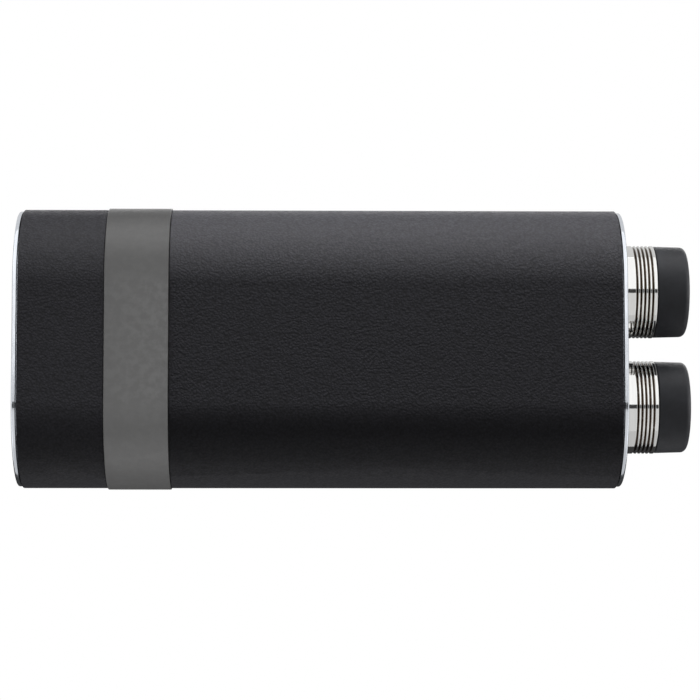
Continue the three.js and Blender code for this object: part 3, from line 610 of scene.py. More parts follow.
# window glass: clear, faintly coated, and it lets the light through to the sensor
glassLook = {
    "tint": (0.9, 0.97, 0.95, 1), "coating": (0.84, 0.95, 0.97, 1), "shadow": (0.86, 0.9, 0.9, 1),
    "rough": (0.0, 0.03), "bending": 1.5,
}
glass = bpy.data.materials.new("optical_glass")
glass.use_nodes = True
tree = glass.node_tree
shader = tree.nodes["Principled BSDF"]
place = addNode(tree, "TexCoord").outputs["Object"]
haze = mapRange(tree, patches(tree, place, 6.0, 5.0, 0.5, 0.8), 0.0, 1.0, *glassLook["rough"])
give(shader, "Roughness", haze)
coating = blendColours(tree, patches(tree, place, 15.0), glassLook["tint"], glassLook["coating"])
give(shader, "Base Color", coating)
give(shader, "Normal", addBump(tree, patches(tree, place, 9.0, 1.0), 0.001))
give(shader, "Transmission Weight", 1.0)
give(shader, "IOR", glassLook["bending"])
through = addNode(tree, "BsdfTransparent", {"Color": glassLook["shadow"]})
shadowRay = addNode(tree, "LightPath").outputs["Is Shadow Ray"]
surfaces = {0: shadowRay, 1: shader.outputs["BSDF"], 2: through.outputs["BSDF"]}
give(tree.nodes["Material Output"], "Surface", addNode(tree, "MixShader", surfaces).outputs["Shader"])
finishes["optical_glass"] = glass
print("finishes made,", len(finishes))


# casing

# the four screw channels inside each sleeve
channel = {"outer": 3.3, "bore": 1.7, "edge": 0.15, "reach": 22.6, "turn": math.radians(60)}
channelY = spread + channel["reach"] * math.cos(channel["turn"])
channelZ = channel["reach"] * math.sin(channel["turn"])
corners = [(channelY, channelZ), (channelY, -channelZ), (-channelY, channelZ), (-channelY, -channelZ)]


# a plain round bar, or one with chamfered ends
def roundBar(start, end, radius, centre, chamfer, steps):
    outline = [(start, 0), (start, radius), (end, radius), (end, 0)]
    if chamfer:
        outline[1:3] = [
            (start, radius - chamfer), (start + chamfer, radius),
            (end - chamfer, radius), (end, radius - chamfer),
        ]
    return carryRound(outline, 0, centre, steps)


def pipeShape(start, end, outer, inner, centre, edge, steps, flat=0):
    outline = [(start, inner, edge), (start, outer, edge), (end, outer, edge), (end, inner, edge)]
    return turned(outline, 3, centre, steps, flat)


sleeveLook = {
    "wall": 2.5, "edge": 0.25, "steps": 160,
    "channels": {"front_sleeve": (10.0, 24.6), "rear_sleeve": (58.7, 198.6)},
}
for name, channelSpan in sleeveLook["channels"].items():
    inner = shellRadius - sleeveLook["wall"]
    ends = spanOf(name)
    tube = pipeShape(*ends, shellRadius, inner, (0, 0), sleeveLook["edge"], sleeveLook["steps"], spread)
    shapes = [tube]
    outer, bore, edge = channel["outer"], channel["bore"], channel["edge"]
    shapes += [pipeShape(*channelSpan, outer, bore, centre, edge, 32) for centre in corners]
    placePiece(name, joinShapes(shapes), "black_coat")

bandLook = {"proud": 0.5, "spigot": 25.2, "bore": 22.8, "gap": 0.14, "edge": 0.3}
tubeStart, tubeEnd = spanOf("joint_band")
bandStart = spanOf("front_sleeve")[1] + bandLook["gap"]
bandEnd = spanOf("rear_sleeve")[0] - bandLook["gap"]
outline = [
    (tubeStart, bandLook["bore"], 0.2),
    (tubeStart, bandLook["spigot"], 0.4),
    (bandStart, bandLook["spigot"], 0),
    (bandStart, shellRadius + bandLook["proud"], bandLook["edge"]),
    (bandEnd, shellRadius + bandLook["proud"], bandLook["edge"]),
    (bandEnd, bandLook["spigot"], 0),
    (tubeEnd, bandLook["spigot"], 0.4),
    (tubeEnd, bandLook["bore"], 0.2),
]
placePiece("joint_band", turned(outline, 4, flat=spread), "grey_coat")
print("sleeves and band made")

# end plates, with counterbored screw holes
plateLook = {
    "radius": 27.4, "spigot": 25.2, "edge": 0.6, "flange": 1.45, "holeRadius": 3.1, "holeDepth": 2.6,
    "through": 12, "openingGap": 0.3, "stubHole": 11.3, "dataHole": (6.3, 5.6, 1.2), "powerHole": 5.3,
    "lightHole": 1.8,
}


# side is 1 at the front and -1 at the rear; depth is measured in from the face
def plateBlank(node, side):
    face, inside = spanOf(node)[::side]
    flange = face + side * plateLook["flange"]
    outline = [
        (face, 0, 0),
        (face, plateLook["radius"], plateLook["edge"]),
        (flange, plateLook["radius"], 0.25),
        (flange, plateLook["spigot"], 0),  # leaves a narrow shadow line against the sleeve
        (inside, plateLook["spigot"], 0.5),
        (inside, 0, 0),
    ]
    return turned(outline, 5, flat=spread), face


# a cutter for a hole through a face, opened out at the rim
def holeCutter(face, side, radius, depth, centre, rim=0.25, steps=48):
    outline = [
        (face - side, 0),
        (face - side, radius + rim + 1),
        (face, radius + rim),
        (face + side * rim, radius),
        (face + side * depth, radius),
        (face + side * depth, 0),
    ]
    return carryRound(outline, 0, centre, steps)


def screwHoles(face, side):
    cutters = []
    for centre in corners:
        cutters.append(holeCutter(face, side, plateLook["holeRadius"], plateLook["holeDepth"], centre))
        bore = sorted((face + side, face + side * 10))
        cutters.append(roundBar(*bore, channel["bore"], centre, 0, 24))
    return cutters


ringStart, ringEnd = spanOf("telescope_thread_ring")
ringRadius = (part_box("telescope_thread_ring")[1].z - axisZ) / mm
through = plateLook["through"]
blank, face = plateBlank("front_plate", 1)
opening = holeCutter(face, 1, ringRadius + plateLook["openingGap"], through, (0, 0), 0.35, 160)
placePiece("front_plate", cutAway(blank, [opening] + screwHoles(face, 1)), "polished_plate")

dataCentre = middleOf("data_socket")
powerCentre = middleOf("power_socket")
lightCentre = middleOf("status_light")
blank, face = plateBlank("rear_plate", -1)
cutters = screwHoles(face, -1)
for y in ports.values():
    cutters.append(roundBar(face - through, face + 1, plateLook["stubHole"], (y, 0), 0, 96))
cutters.append(roundedBar(face - through, face + 1, *plateLook["dataHole"], 0, dataCentre))
cutters.append(holeCutter(face, -1, plateLook["powerHole"], through, powerCentre, 0.25, 64))
cutters.append(holeCutter(face, -1, plateLook["lightHole"], through, lightCentre, 0.2, 32))
placePiece("rear_plate", cutAway(blank, cutters), "polished_plate")

# socket head screws with a hexagonal recess and a threaded shank
screwLook = {
    "head": 2.72, "headDepth": 2.3, "sunk": 0.2, "shank": 1.4, "length": 14.0,
    "recess": 1.44, "recessDepth": 1.4, "pitch": 0.5, "threadDepth": 0.28,
}


def plateScrew(face, side, centre):
    head = face + side * screwLook["sunk"]
    under = head + side * screwLook["headDepth"]
    tip = face + side * screwLook["length"]
    outline = [
        (head, 0, 0),
        (head, screwLook["head"], 0.3),
        (under, screwLook["head"], 0.12),
        (under, screwLook["shank"], 0),
    ]
    pitch = screwLook["pitch"]
    turns = int((abs(tip - under) - 1.0) / pitch)
    for turn in range(turns):
        root = under + side * (0.5 + turn * pitch)
        outline.append((root, screwLook["shank"] - screwLook["threadDepth"], 0))
        outline.append((root + side * pitch / 2, screwLook["shank"], 0))
    outline += [(tip, screwLook["shank"] * 0.6, 0), (tip, 0, 0)]
    recess = sorted((head - side * 0.5, head + side * screwLook["recessDepth"]))
    return cutAway(turned(outline, 4, centre, 48), [roundBar(*recess, screwLook["recess"], centre, 0, 6)])


for end, side in (("front", 1), ("rear", -1)):
    face = spanOf(end + "_plate")[0 if side > 0 else 1]
    for index, centre in enumerate(corners):
        name = "%s_plate_screw_%d" % (end, index + 1)
        placePiece(name, plateScrew(face, side, centre), "steel")
print("plates and screws made")

# telescope ring, with its helical thread cut into the bore
ringLook = {
    "pitch": 0.75, "depth": 0.42, "bore": 20.6, "mouth": 0.9, "lip": 16.5,
    "threadStart": 0.45, "threadEnd": 6.4, "lipStart": 6.8, "runIn": 0.5, "points": 66,
}


def ringOutline(share):
    points = roundCorners([
        (ringStart, ringLook["bore"] + ringLook["mouth"], 0.15),
        (ringStart, ringRadius, 0.25),
        (ringEnd, ringRadius, 0.2),
        (ringEnd, ringLook["lip"], 0.2),
        (ringLook["lipStart"], ringLook["lip"], 0.15),
        (ringLook["lipStart"], ringLook["bore"] + ringLook["depth"], 0),
    ], 3)
    count = ringLook["points"]
    first = ringStart + ringLook["threadStart"]
    for index in range(count):
        x = ringLook["threadEnd"] + (first - ringLook["threadEnd"]) * index / (count - 1)
        turn = (x / ringLook["pitch"] - share) % 1.0
        tooth = 1 - abs(2 * turn - 1)
        fade = min(1.0, (x - first) / ringLook["runIn"])
        points.append((x, ringLook["bore"] + ringLook["depth"] * (1 - tooth * fade)))
    return points


ring = carryRound(ringOutline, 0, (0, 0), 160)
placePiece("telescope_thread_ring", ring, "black_anodised", sharp=25)

# window and its slotted retainer
windowLook = {"glass": 14.7, "ring": 14.9, "opening": 12.5, "slotAt": 13.7, "slotDepth": 0.45}
start, end = spanOf("window_retainer")
outer, opening = windowLook["ring"], windowLook["opening"]
outline = [(start, opening, 0.15), (start, outer, 0.1), (end, outer, 0.1), (end, opening, 0.3)]
slots = []
for y in (windowLook["slotAt"], -windowLook["slotAt"]):
    slots.append(roundedBar(start - 1, start + windowLook["slotDepth"], 0.6, 1.4, 0.3, 0, (y, 0)))
placePiece("window_retainer", cutAway(turned(outline, 3, steps=96), slots), "black_anodised")
start, end = spanOf("window_glass")
outline = [(start, 0, 0), (start, windowLook["glass"], 0.2), (end, windowLook["glass"], 0.2), (end, 0, 0)]
placePiece("window_glass", turned(outline, 3, steps=128), "optical_glass")


# a rubber ring of round section
def sealRing(node, body):
    start, end = spanOf(node)
    low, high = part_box(node)
    thick = (end - start) / 2
    radius = (high.z - low.z) / 2 / mm - thick
    section = []
    for turn in turnsRound(20):
        section.append(((start + end) / 2 + thick * math.cos(turn), radius + thick * math.sin(turn)))
    placePiece(node, carryRound(section, 0, middleOf(node), 96), "rubber", body)


sealRing("window_seal", "housing")

# shutter plate, with the posts that carry the motor
shutterLook = {
    "radius": 24.9, "thickness": 1.0, "opening": 12.0, "rim": 0.2, "pivotHole": 1.6, "pivotDrop": 18.0,
    "post": 1.3, "postEnd": 12.2, "postSpread": 6.5, "postDrop": 1.5,
}
start = spanOf("shutter_plate")[0]
end = start + shutterLook["thickness"]
radius = shutterLook["radius"]
pivot = (middleOf("shutter_motor")[0], -shutterLook["pivotDrop"])
outline = [(start, 0, 0), (start, radius, 0.15), (end, radius, 0.15), (end, 0, 0)]
cutters = [holeCutter(start, 1, shutterLook["opening"], 3, (0, 0), shutterLook["rim"], 160)]
cutters.append(holeCutter(start, 1, shutterLook["pivotHole"], 3, pivot, 0.1, 32))
cutters += [holeCutter(start, 1, channel["bore"], 3, centre, 0.1, 32) for centre in corners]
shapes = [cutAway(turned(outline, 3, flat=spread), cutters)]
for reach in (-shutterLook["postSpread"], shutterLook["postSpread"]):
    post = (pivot[0] + reach, pivot[1] - shutterLook["postDrop"])
    shapes.append(roundBar(end - 0.1, shutterLook["postEnd"], shutterLook["post"], post, 0.15, 32))
placePiece("shutter_plate", joinShapes(shapes), "black_anodised")

# shutter blade: one outline round the disc, down the arm and round the hub
bladeLook = {"disc": 12.5, "hub": 3.0, "arm": 2.4, "thickness": 0.6, "bore": 1.25, "edge": 0.08}
bladeStart, hubEnd = spanOf("shutter_blade")
discCentre = Vector((2 * pivot[0], 0))
reach = (discCentre - Vector(pivot)).normalized()
heading = math.atan2(reach.y, reach.x)
bladeOutline = []
rounds = ((discCentre, bladeLook["disc"], math.pi), (Vector(pivot), bladeLook["hub"], 0))
for centre, radius, away in rounds:
    gap = math.asin(bladeLook["arm"] / radius)
    for step in range(97):
        turn = heading + away + gap + (2 * math.pi - 2 * gap) * step / 96
        bladeOutline.append((centre, radius, turn))
rings = []
bladeEnd = bladeStart + bladeLook["thickness"]
edge = bladeLook["edge"]
for x, inset in ((bladeStart, edge), (bladeStart + edge, 0), (bladeEnd - edge, 0), (bladeEnd, edge)):
    ring = []
    for centre, radius, turn in bladeOutline:
        point = centre + Vector((math.cos(turn), math.sin(turn))) * (radius - inset)
        ring.append((x, point.x, point.y))
    rings.append(ring)
shaftHole = roundBar(bladeStart - 1, hubEnd + 1, bladeLook["bore"], pivot, 0, 32)
blade = cutAway(skinRings(rings), [shaftHole])
hub = pipeShape(bladeEnd - 0.1, hubEnd, bladeLook["hub"] - 0.05, bladeLook["bore"], pivot, 0.15, 48)
placePiece("shutter_blade", joinShapes([blade, hub]), "black_anodised", "shutter")
print("telescope end made")

# image sensor package, with gold bond pads along two sides of its well
packageLook = {
    "half": (12.0, 9.5), "wellHalf": (9.5, 7.5), "wellDepth": 1.4,
    "pads": 24, "padPitch": 0.7, "padRow": 7.0, "padHalf": (0.2, 0.3), "padHeight": 0.1,
}
start, end = spanOf("sensor_package")
floorX = start + packageLook["wellDepth"]
blank = roundedBar(start, end, *packageLook["half"], 0.5, 0.12)
well = roundedBar(start - 1, floorX, *packageLook["wellHalf"], 0.4, 0)
shapes = [cutAway(blank, [well])]
padAlong = (floorX - 0.05, floorX + packageLook["padHeight"])
padY, padZ = packageLook["padHalf"]
for index in range(packageLook["pads"]):
    y = (index - (packageLook["pads"] - 1) / 2) * packageLook["padPitch"]
    for z in (-packageLook["padRow"], packageLook["padRow"]):
        shapes.append(softBox(padAlong, (y - padY, y + padY), (z - padZ, z + padZ), 0))
kinds = [0] + [1] * (len(shapes) - 1)
placePiece("sensor_package", joinShapes(shapes, kinds), ["ceramic", "gold"])

# thermoelectric stages: two ceramic plates with rows of pellets between them
coolerLook = {"plate": 0.7, "pellet": 1.1, "pitch": 1.95, "margin": 0.7, "sink": 0.05}
for node in ("cooler_upper_stage", "cooler_lower_stage"):
    start, end = spanOf(node)
    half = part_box(node)[1].y / mm
    plate = coolerLook["plate"]
    shapes = [
        roundedBar(start, start + plate, half, half, 0.3, 0.08),
        roundedBar(end - plate, end, half, half, 0.3, 0.08),
    ]
    pitch = coolerLook["pitch"]
    count = int((2 * (half - coolerLook["margin"]) - coolerLook["pellet"]) / pitch) + 1
    first = -(count - 1) * pitch / 2
    size = coolerLook["pellet"] / 2
    span = (start + plate - coolerLook["sink"], end - plate + coolerLook["sink"])
    for row in range(count):
        for column in range(count):
            y = first + column * pitch
            z = first + row * pitch
            shapes.append(softBox(span, (y - size, y + size), (z - size, z + size), 0.05))
    kinds = [0, 0] + [1] * (count * count)
    placePiece(node, joinShapes(shapes, kinds), ["ceramic", "telluride"])
print("sensor and cooler made")

# circuit boards: length, width and height of each chip and can, standing on the board's outer face
boardLook = {
    "thickness": 1.6, "sink": 0.05,
    "legPitch": 1.27, "legWidth": 0.42, "legReach": 0.8, "legHeight": 0.4,
}
boardParts = {
    "main_board": {
        "chips": [
            (68, 0, 5, 16, 2.6), (92, 0, 23, 23, 2.2), (118, 12, 9, 13, 1.2), (118, -12, 9, 13, 1.2),
            (140, 0, 14, 14, 1.6), (160, 18, 8, 6, 1.4), (160, -18, 8, 6, 1.4), (178, 22, 12, 7, 5),
        ],
        "cans": [(80, 26, 3, 6), (88, 26, 3, 6), (80, -26, 3, 6)],
    },
    "power_board": {
        "chips": [
            (84, 0, 13, 13, 6), (104, 0, 13, 13, 6), (124, 16, 10, 6, 2), (124, -16, 10, 6, 2),
            (176, 0, 10, 14, 5),
        ],
        "cans": [(142, 14, 5, 10), (142, 0, 5, 10), (142, -14, 5, 10)],
    },
}


# legs down both long sides of a chip, bent out onto the board
def chipLegs(x, y, length, width, top, side):
    legs = []
    count = int(length / boardLook["legPitch"])
    for index in range(count):
        middle = x + (index - (count - 1) / 2) * boardLook["legPitch"]
        along = (middle - boardLook["legWidth"] / 2, middle + boardLook["legWidth"] / 2)
        up = sorted((side * (top - boardLook["sink"]), side * (top + boardLook["legHeight"])))
        for edge in (-1, 1):
            ends = (y + edge * (width / 2 - 0.3), y + edge * (width / 2 + boardLook["legReach"]))
            legs.append(softBox(along, sorted(ends), up, 0.06))
    return legs


def standingCan(x, y, radius, height, top, side):
    levels = [(-boardLook["sink"], radius), (0.7, radius), (1.0, radius - 0.25), (1.3, radius)]
    levels += [(height - 0.35, radius), (height - 0.1, radius - 0.12), (height, radius - 0.4)]
    levels += [(height, radius - 0.7), (height - 0.15, radius - 0.85)]
    rings = []
    for rise, reach in levels:
        ring = []
        for turn in turnsRound(32):
            ring.append((x + reach * math.cos(turn), y + reach * math.sin(turn), side * (top + rise)))
        rings.append(ring)
    return skinRings(rings)


for node, parts in boardParts.items():
    start, end = spanOf(node)
    low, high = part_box(node)
    side = 1 if (low.z + high.z) / 2 > axisZ else -1
    inner = (low.z - axisZ) / mm if side > 0 else (axisZ - high.z) / mm
    top = inner + boardLook["thickness"]
    half = high.y / mm
    shapes = [softBox((start, end), (-half, half), sorted((side * inner, side * top)), 0.15)]
    kinds = [0]
    for x, y, length, width, height in parts["chips"]:
        along = (x - length / 2, x + length / 2)
        up = sorted((side * (top - boardLook["sink"]), side * (top + height)))
        shapes.append(softBox(along, (y - width / 2, y + width / 2), up, 0.2))
        kinds.append(1)
        legs = chipLegs(x, y, length, width, top, side)
        shapes += legs
        kinds += [2] * len(legs)
    for x, y, radius, height in parts["cans"]:
        shapes.append(standingCan(x, y, radius, height, top, side))
        kinds.append(3)
    finish = [slotOf[node], "black_plastic", "steel", "aluminium"]
    placePiece(node, joinShapes(shapes, kinds), finish)
print("boards made")


# coolant end

stubLook = {
    "radius": 16.0, "shank": 11.0, "grooves": 5, "pitch": 1.363, "firstGroove": 6.4,
    "grooveDepth": 0.75, "land": 0.18, "edge": 0.3, "bore": 10.0, "boreEnd": 208.0,
    "seat": 5.0, "seatEnd": 206.0, "chamber": 8.0, "chamberEnd": 193.5, "inlet": 5.3, "steps": 192,
}
sleeveEnd = spanOf("rear_sleeve")[1]


def stubOutline(start, end):
    collar = spanOf("rear_plate")[1] + 0.05
    radius = stubLook["radius"]
    outline = roundCorners([
        (start, stubLook["inlet"], 0.2),
        (start, stubLook["shank"], 0.4),
        (collar, stubLook["shank"], 0),
        (collar, radius, stubLook["edge"]),
        (collar + 1.5, radius, 0),
    ], 5)[:-1]
    pitch = stubLook["pitch"]
    first = sleeveEnd + stubLook["firstGroove"] - pitch / 2
    for groove in range(stubLook["grooves"]):
        for step in range(16):  # a rounded land, then a steep valley
            share = step / 16
            dip = max(0.0, 1 - abs(2 * share - 1) / (1 - stubLook["land"]))
            dip = dip * dip * (3 - 2 * dip)
            x = first + (groove + share) * pitch
            outline.append((x, radius - stubLook["grooveDepth"] * dip))
    outline += roundCorners([
        (first + stubLook["grooves"] * pitch, radius, 0),
        (end, radius, stubLook["edge"]),
        (end, stubLook["bore"], 0.4),
        (stubLook["boreEnd"], stubLook["bore"], 0.2),
        (stubLook["boreEnd"], stubLook["seat"], 0.3),
        (stubLook["seatEnd"], stubLook["seat"], 0),
        (stubLook["seatEnd"], stubLook["chamber"], 0.3),
        (stubLook["chamberEnd"], stubLook["chamber"], 0.3),
        (stubLook["chamberEnd"], stubLook["inlet"], 0),
    ], 5)
    return outline


plugLook = {
    "spigot": 9.4, "groove": (213.0, 214.6), "grooveRadius": 8.4, "head": 15.8, "headGap": 0.3,
    "corner": 3.0, "outer": 15.5, "flat": 11.5, "dome": 0.3, "steps": 160,
}


def plugOutline(start, end):
    spigot = plugLook["spigot"]
    head = spanOf("inlet_stub")[1] + plugLook["headGap"]
    grooveStart, grooveEnd = plugLook["groove"]
    rimEnd = end - plugLook["dome"]
    flat = plugLook["flat"]
    outline = roundCorners([
        (start, 0, 0),
        (start, spigot, 0.5),
        (grooveStart, spigot, 0.1),
        (grooveStart, plugLook["grooveRadius"], 0.15),
        (grooveEnd, plugLook["grooveRadius"], 0.15),
        (grooveEnd, spigot, 0.1),
        (head, spigot, 0),
        (head, plugLook["head"], 0.35),
        (rimEnd, plugLook["outer"], plugLook["corner"]),
        (rimEnd, flat, 0),
    ], 10)
    for step in range(1, 9):  # the end is slightly domed
        radius = flat * (1 - step / 8)
        rise = plugLook["dome"] * (1 - (radius / flat) ** 2)
        outline.append((rimEnd + rise, radius))
    return outline


springLook = {"radius": 6.2, "wire": 0.45, "turns": 4, "steps": 192}


def springShape(start, end, centre):
    wire = springLook["wire"]
    rings = []
    for index in range(springLook["steps"] + 1):
        share = index / springLook["steps"]
        turn = 2 * math.pi * springLook["turns"] * share
        middle = start + wire + (end - start - 2 * wire) * share
        ring = []
        for bend in turnsRound(12):
            reach = springLook["radius"] + wire * math.cos(bend)
            y = centre[0] + reach * math.cos(turn)
            z = centre[1] + reach * math.sin(turn)
            ring.append((middle + wire * math.sin(bend), y, z))
        rings.append(ring)
    return skinRings(rings)


# each valve: outline points along it, with their radius and rounding
valveLook = [
    (197, 0, 0), (197, 1.6, 0.3), (203, 1.6, 0.2), (203, 6.8, 0.2), (204.4, 6.8, 0.2),
    (205.8, 4.4, 0.2), (209, 4.4, 0.2), (209.6, 3.8, 0.2), (209.6, 0, 0),
]
pipeLook = {"outer": 5.0, "inner": 3.8, "edge": 0.3}
for side, y in ports.items():
    centre = (y, 0)
    node = side + "_stub"
    stub = carryRound(stubOutline(*spanOf(node)), 0, centre, stubLook["steps"])
    placePiece(node, stub, "chrome_plate", sharp=40)
    node = side + "_plug"
    plug = carryRound(plugOutline(*spanOf(node)), 0, centre, plugLook["steps"])
    placePiece(node, plug, "plug_plastic", side + "_plug")
    node = side + "_valve"
    placePiece(node, turned(valveLook, 3, centre, 64), "brass", side + "_valve")
    node = side + "_valve_spring"
    placePiece(node, springShape(*spanOf(node), centre), "steel", ("housing", side + "_valve"))
    sealRing(side + "_plug_seal", side + "_plug")
    sealRing(side + "_stub_seal", "housing")
    node = side + "_pipe"
    pipe = pipeShape(*spanOf(node), pipeLook["outer"], pipeLook["inner"], centre, pipeLook["edge"], 48)
    placePiece(node, pipe, "copper")
print("coolant end made")

# rear sockets

dataLook = {
    "shell": (6.0, 5.3, 1.0), "mouth": (4.3, 3.9, 0.6), "floor": 195.0, "tongue": (2.9, 1.6, 0.25),
    "tongueStart": 194.6, "tongueBack": 0.9,
    "contacts": 4, "contact": (0.35, 0.12, 0.08), "pitch": 1.35, "rise": 1.62, "contactBack": 1.4,
}
start, end = spanOf("data_socket")
shellBar = roundedBar(start, end, *dataLook["shell"], 0.3, dataCentre)
mouth = roundedBar(dataLook["floor"], end + 1, *dataLook["mouth"], 0, dataCentre)
tongueEnd = end - dataLook["tongueBack"]
tongue = roundedBar(dataLook["tongueStart"], tongueEnd, *dataLook["tongue"], 0.2, dataCentre)
shapes = [cutAway(shellBar, [mouth]), tongue]
contactEnd = end - dataLook["contactBack"]
for side in (-1, 1):
    for step in range(dataLook["contacts"]):  # spring contacts above and below the tongue
        y = dataCentre[0] + (step - (dataLook["contacts"] - 1) / 2) * dataLook["pitch"]
        z = dataCentre[1] + side * dataLook["rise"]
        shapes.append(roundedBar(dataLook["floor"] + 1, contactEnd, *dataLook["contact"], 0.05, (y, z), 3))
kinds = [0, 1] + [2] * (2 * dataLook["contacts"])
placePiece("data_socket", joinShapes(shapes, kinds), ["steel", "black_plastic", "brass"])

powerLook = {"radius": 5.0, "mouth": 2.8, "floor": 196.0, "pin": 1.0, "pinBack": 1.2, "liner": (2.78, 2.55)}
start, end = spanOf("power_socket")
barrel = turned([
    (start, 0, 0),
    (start, powerLook["radius"], 0.3),
    (end, powerLook["radius"], 0.4),
    (end, powerLook["mouth"], 0.35),
    (powerLook["floor"], powerLook["mouth"], 0),
    (powerLook["floor"], 0, 0),
], 4, powerCentre, 64)
pinStart, pinEnd = powerLook["floor"] - 0.5, end - powerLook["pinBack"]
radius = powerLook["pin"]
pinOutline = [(pinStart, 0, 0), (pinStart, radius, 0), (pinEnd, radius, 0.35), (pinEnd, 0, 0)]
pin = turned(pinOutline, 4, powerCentre, 32)
liner = pipeShape(powerLook["floor"] + 1, end - 0.6, *powerLook["liner"], powerCentre, 0.05, 48)
placePiece("power_socket", joinShapes([barrel, pin, liner], [0, 1, 1]), ["black_plastic", "brass"])

lensLook = {"radius": 1.5, "crown": 0.1, "flat": 0.5}
start, end = spanOf("status_light")
shoulder = end - lensLook["crown"]
outline = [(start, 0, 0), (start, lensLook["radius"], 0.1), (shoulder, lensLook["radius"], 0.5)]
outline += [(end, lensLook["flat"], 0), (end, 0, 0)]
placePiece("status_light", turned(outline, 4, lightCentre, 32), "light_lens")
print("sockets made")

# inside pieces that keep their CAD shape: softened edges and a finish

softEdge = {"width": 0.12, "angle": 40}
for name, node in nodes.items():
    if node.hide_render:
        continue
    finish = finishes[slotOf[name]]
    node.data.materials.clear()
    node.data.materials.append(finish)
    node.data.polygons.foreach_set("use_smooth", [True] * len(node.data.polygons))
    node.data.set_sharp_from_angle(angle=math.radians(softEdge["angle"]))
    edge = node.modifiers.new("soft edge", "BEVEL")
    edge.width = softEdge["width"] * mm
    edge.segments = 2
    edge.limit_method = "ANGLE"
    edge.angle_limit = math.radians(softEdge["angle"])
    edge.harden_normals = True
    lightPiece(node, slotOf[name])
print("inside pieces finished")

# floor, world, lights and view

stageLook = {"floorSize": 8.0, "floorDrop": 0.2, "seen": 1.0, "floorGlow": 0.4, "ambient": 0.042}
half = stageLook["floorSize"] / 2
floorMesh = bpy.data.meshes.new("floor")
floorCorners = [(-half, -half, 0), (half, -half, 0), (half, half, 0), (-half, half, 0)]
floorMesh.from_pydata(floorCorners, [], [(0, 1, 2, 3)])
floor = addObject("floor", floorMesh)
floor.location.z = cadBox[0].z - stageLook["floorDrop"] * mm
paper = bpy.data.materials.new("pale floor")
paper.use_nodes = True
tree = paper.node_tree
seen = addNode(tree, "LightPath").outputs["Is Camera Ray"]
shade = blendColours(tree, seen, grey(stageLook["floorGlow"]), grey(stageLook["seen"]))
glow = addNode(tree, "Emission", {"Color": shade})
give(tree.nodes["Material Output"], "Surface", glow.outputs[0])
floor.visible_shadow = False  # so light and reflections from below come through it
floor.visible_glossy = False
floorMesh.materials.append(paper)

world = bpy.data.worlds.new("studio")
bpy.context.scene.world = world
world.use_nodes = True
tree = world.node_tree
seen = addNode(tree, "LightPath").outputs["Is Camera Ray"]
room = blendColours(tree, seen, grey(stageLook["ambient"]), grey(stageLook["seen"]))
give(tree.nodes["Background"], "Color", room)
bpy.context.scene.view_settings.view_transform = "Standard"


# a soft panel aimed at the camera body; turn is its angle from overhead towards +Y
def addPanel(name, turn, distance, size, radiance, lights):
    data = bpy.data.lights.new(name, "AREA")
    data.shape = "RECTANGLE"
    data.size, data.size_y = size
    data.energy = 4 * radiance * size[0] * size[1]
    panel = addObject(name, data)
    reach = Vector((0.0, math.sin(math.radians(turn)), math.cos(math.radians(turn))))
    panel.location = Vector((0, 0, axisZ)) + reach * distance
    panel.rotation_mode = "QUATERNION"
    panel.rotation_quaternion = reach.to_track_quat("Z", "Y")
    panel.visible_camera = False
    panel.light_linking.receiver_collection = lights
    return panel


def addSun(name, turn, strength, spreadAngle, lights, along=0.0):
    data = bpy.data.lights.new(name, "SUN")
    data.energy = strength
    data.angle = math.radians(spreadAngle)
    sun = addObject(name, data)
    reach = Vector((along, math.sin(math.radians(turn)), math.cos(math.radians(turn))))
    sun.rotation_mode = "QUATERNION"
    sun.rotation_quaternion = reach.to_track_quat("Z", "Y")
    sun.light_linking.receiver_collection = lights


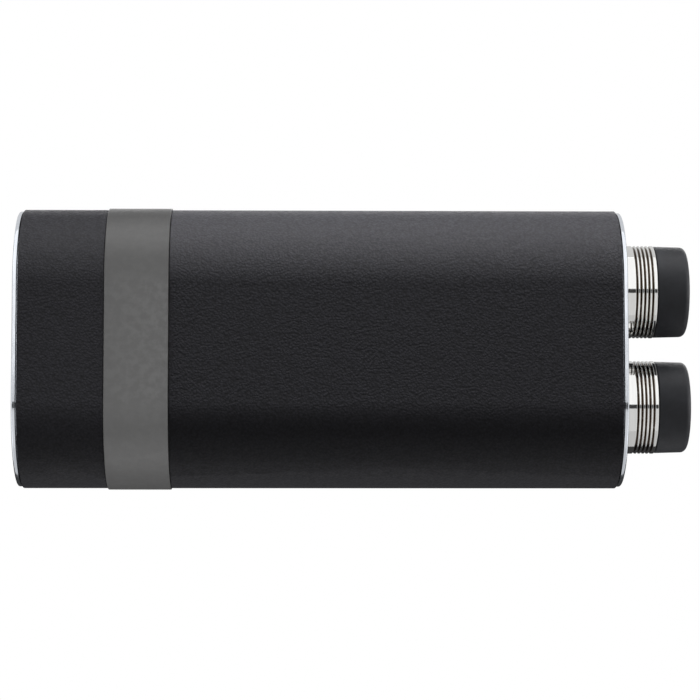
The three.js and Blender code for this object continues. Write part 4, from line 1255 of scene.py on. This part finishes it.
# strengths of the strips, suns and panels; turns are from overhead towards +Y
lightLook = {
    "keySize": (1.3, 0.36), "stripSize": (1.3, 0.3), "stripDistance": 0.75, "panelDistance": 1.6,
    "key": 7.6, "keyTurn": 80, "sleeveShare": 0.3, "plugShare": 0.56,
    "lowFill": 2.1, "rim": 4.0, "rimTurn": 153, "bandRimShare": 0.5,
    "overhead": 1.0, "sleeveOverhead": 2.1, "plugOverhead": 0.7, "overheadTurn": 55,
    "brightPlusY": 0.8, "brightMinusY": 0.5, "lowPlusShare": 0.6, "lowMinusShare": 0.8,
    "brightEnds": 0.6, "endReach": 2.2, "endRise": 0.4, "ends": 2.5,
    "bandFills": [(0, 1.45), (76, 1.95), (-72, 1.35)],
}
strip = lightLook["stripDistance"]
for name, share, group in (
    ("key", 1.0, fullKey), ("sleeve key", lightLook["sleeveShare"], sleeveKey),
    ("plug key", lightLook["plugShare"], plugKey),
):
    addPanel(name, lightLook["keyTurn"], strip, lightLook["keySize"], lightLook["key"] * share, group)
addPanel("low fill", -101, strip, lightLook["stripSize"], lightLook["lowFill"], darkPieces)
for name, share, group in (("rim", 1.0, darkPieces), ("band rim", lightLook["bandRimShare"], bandPieces)):
    addPanel(name, lightLook["rimTurn"], strip, lightLook["stripSize"], lightLook["rim"] * share, group)
addSun("overhead", lightLook["overheadTurn"], lightLook["overhead"], 20, fullKey)
addSun("sleeve overhead", lightLook["overheadTurn"], lightLook["sleeveOverhead"], 20, sleeveKey)
addSun("plug overhead", -15, lightLook["plugOverhead"], 60, plugKey)
plus, minus = lightLook["brightPlusY"], lightLook["brightMinusY"]
for name, turn, width, radiance, group in (
    ("bright plus y", 47, 3.1, plus, brightPieces),
    ("bright plus y low", 130, 2.7, plus * lightLook["lowPlusShare"], lowPlusPieces),
    ("bright minus y", -35.5, 1.74, minus, brightPieces),
    ("bright minus y low", -90.5, 1.6, minus * lightLook["lowMinusShare"], lowMinusPieces),
):
    addPanel(name, turn, lightLook["panelDistance"], (4.0, width), radiance, group)
for name, along in (("bright front", -1), ("bright rear", 1)):
    panel = addPanel(name, 0, 1, (5.0, 2.8), lightLook["brightEnds"], brightPieces)
    panel.location = (along * lightLook["endReach"], 0, lightLook["endRise"])
    panel.rotation_quaternion = Vector((along, 0, 0.15)).to_track_quat("Z", "Y")
    addSun(name + " fill", 70, lightLook["ends"], 30, endPieces, along * 12)
for turn, strength in lightLook["bandFills"]:
    addSun("band fill", turn, strength, 50, bandPieces)

viewLook = {"place": (-0.01885, -0.0728, 0.9144), "tilt": (4.68, -1.14, 0.0), "lens": 132.3}
cameraData = bpy.data.cameras.new("view")
cameraData.lens = viewLook["lens"]
cameraData.sensor_width = 36
cameraData.clip_start = 0.01
cameraData.clip_end = 100
view = addObject("view", cameraData)
view.location = viewLook["place"]
view.rotation_euler = [math.radians(angle) for angle in viewLook["tilt"]]
bpy.context.scene.camera = view
print("stage ready")
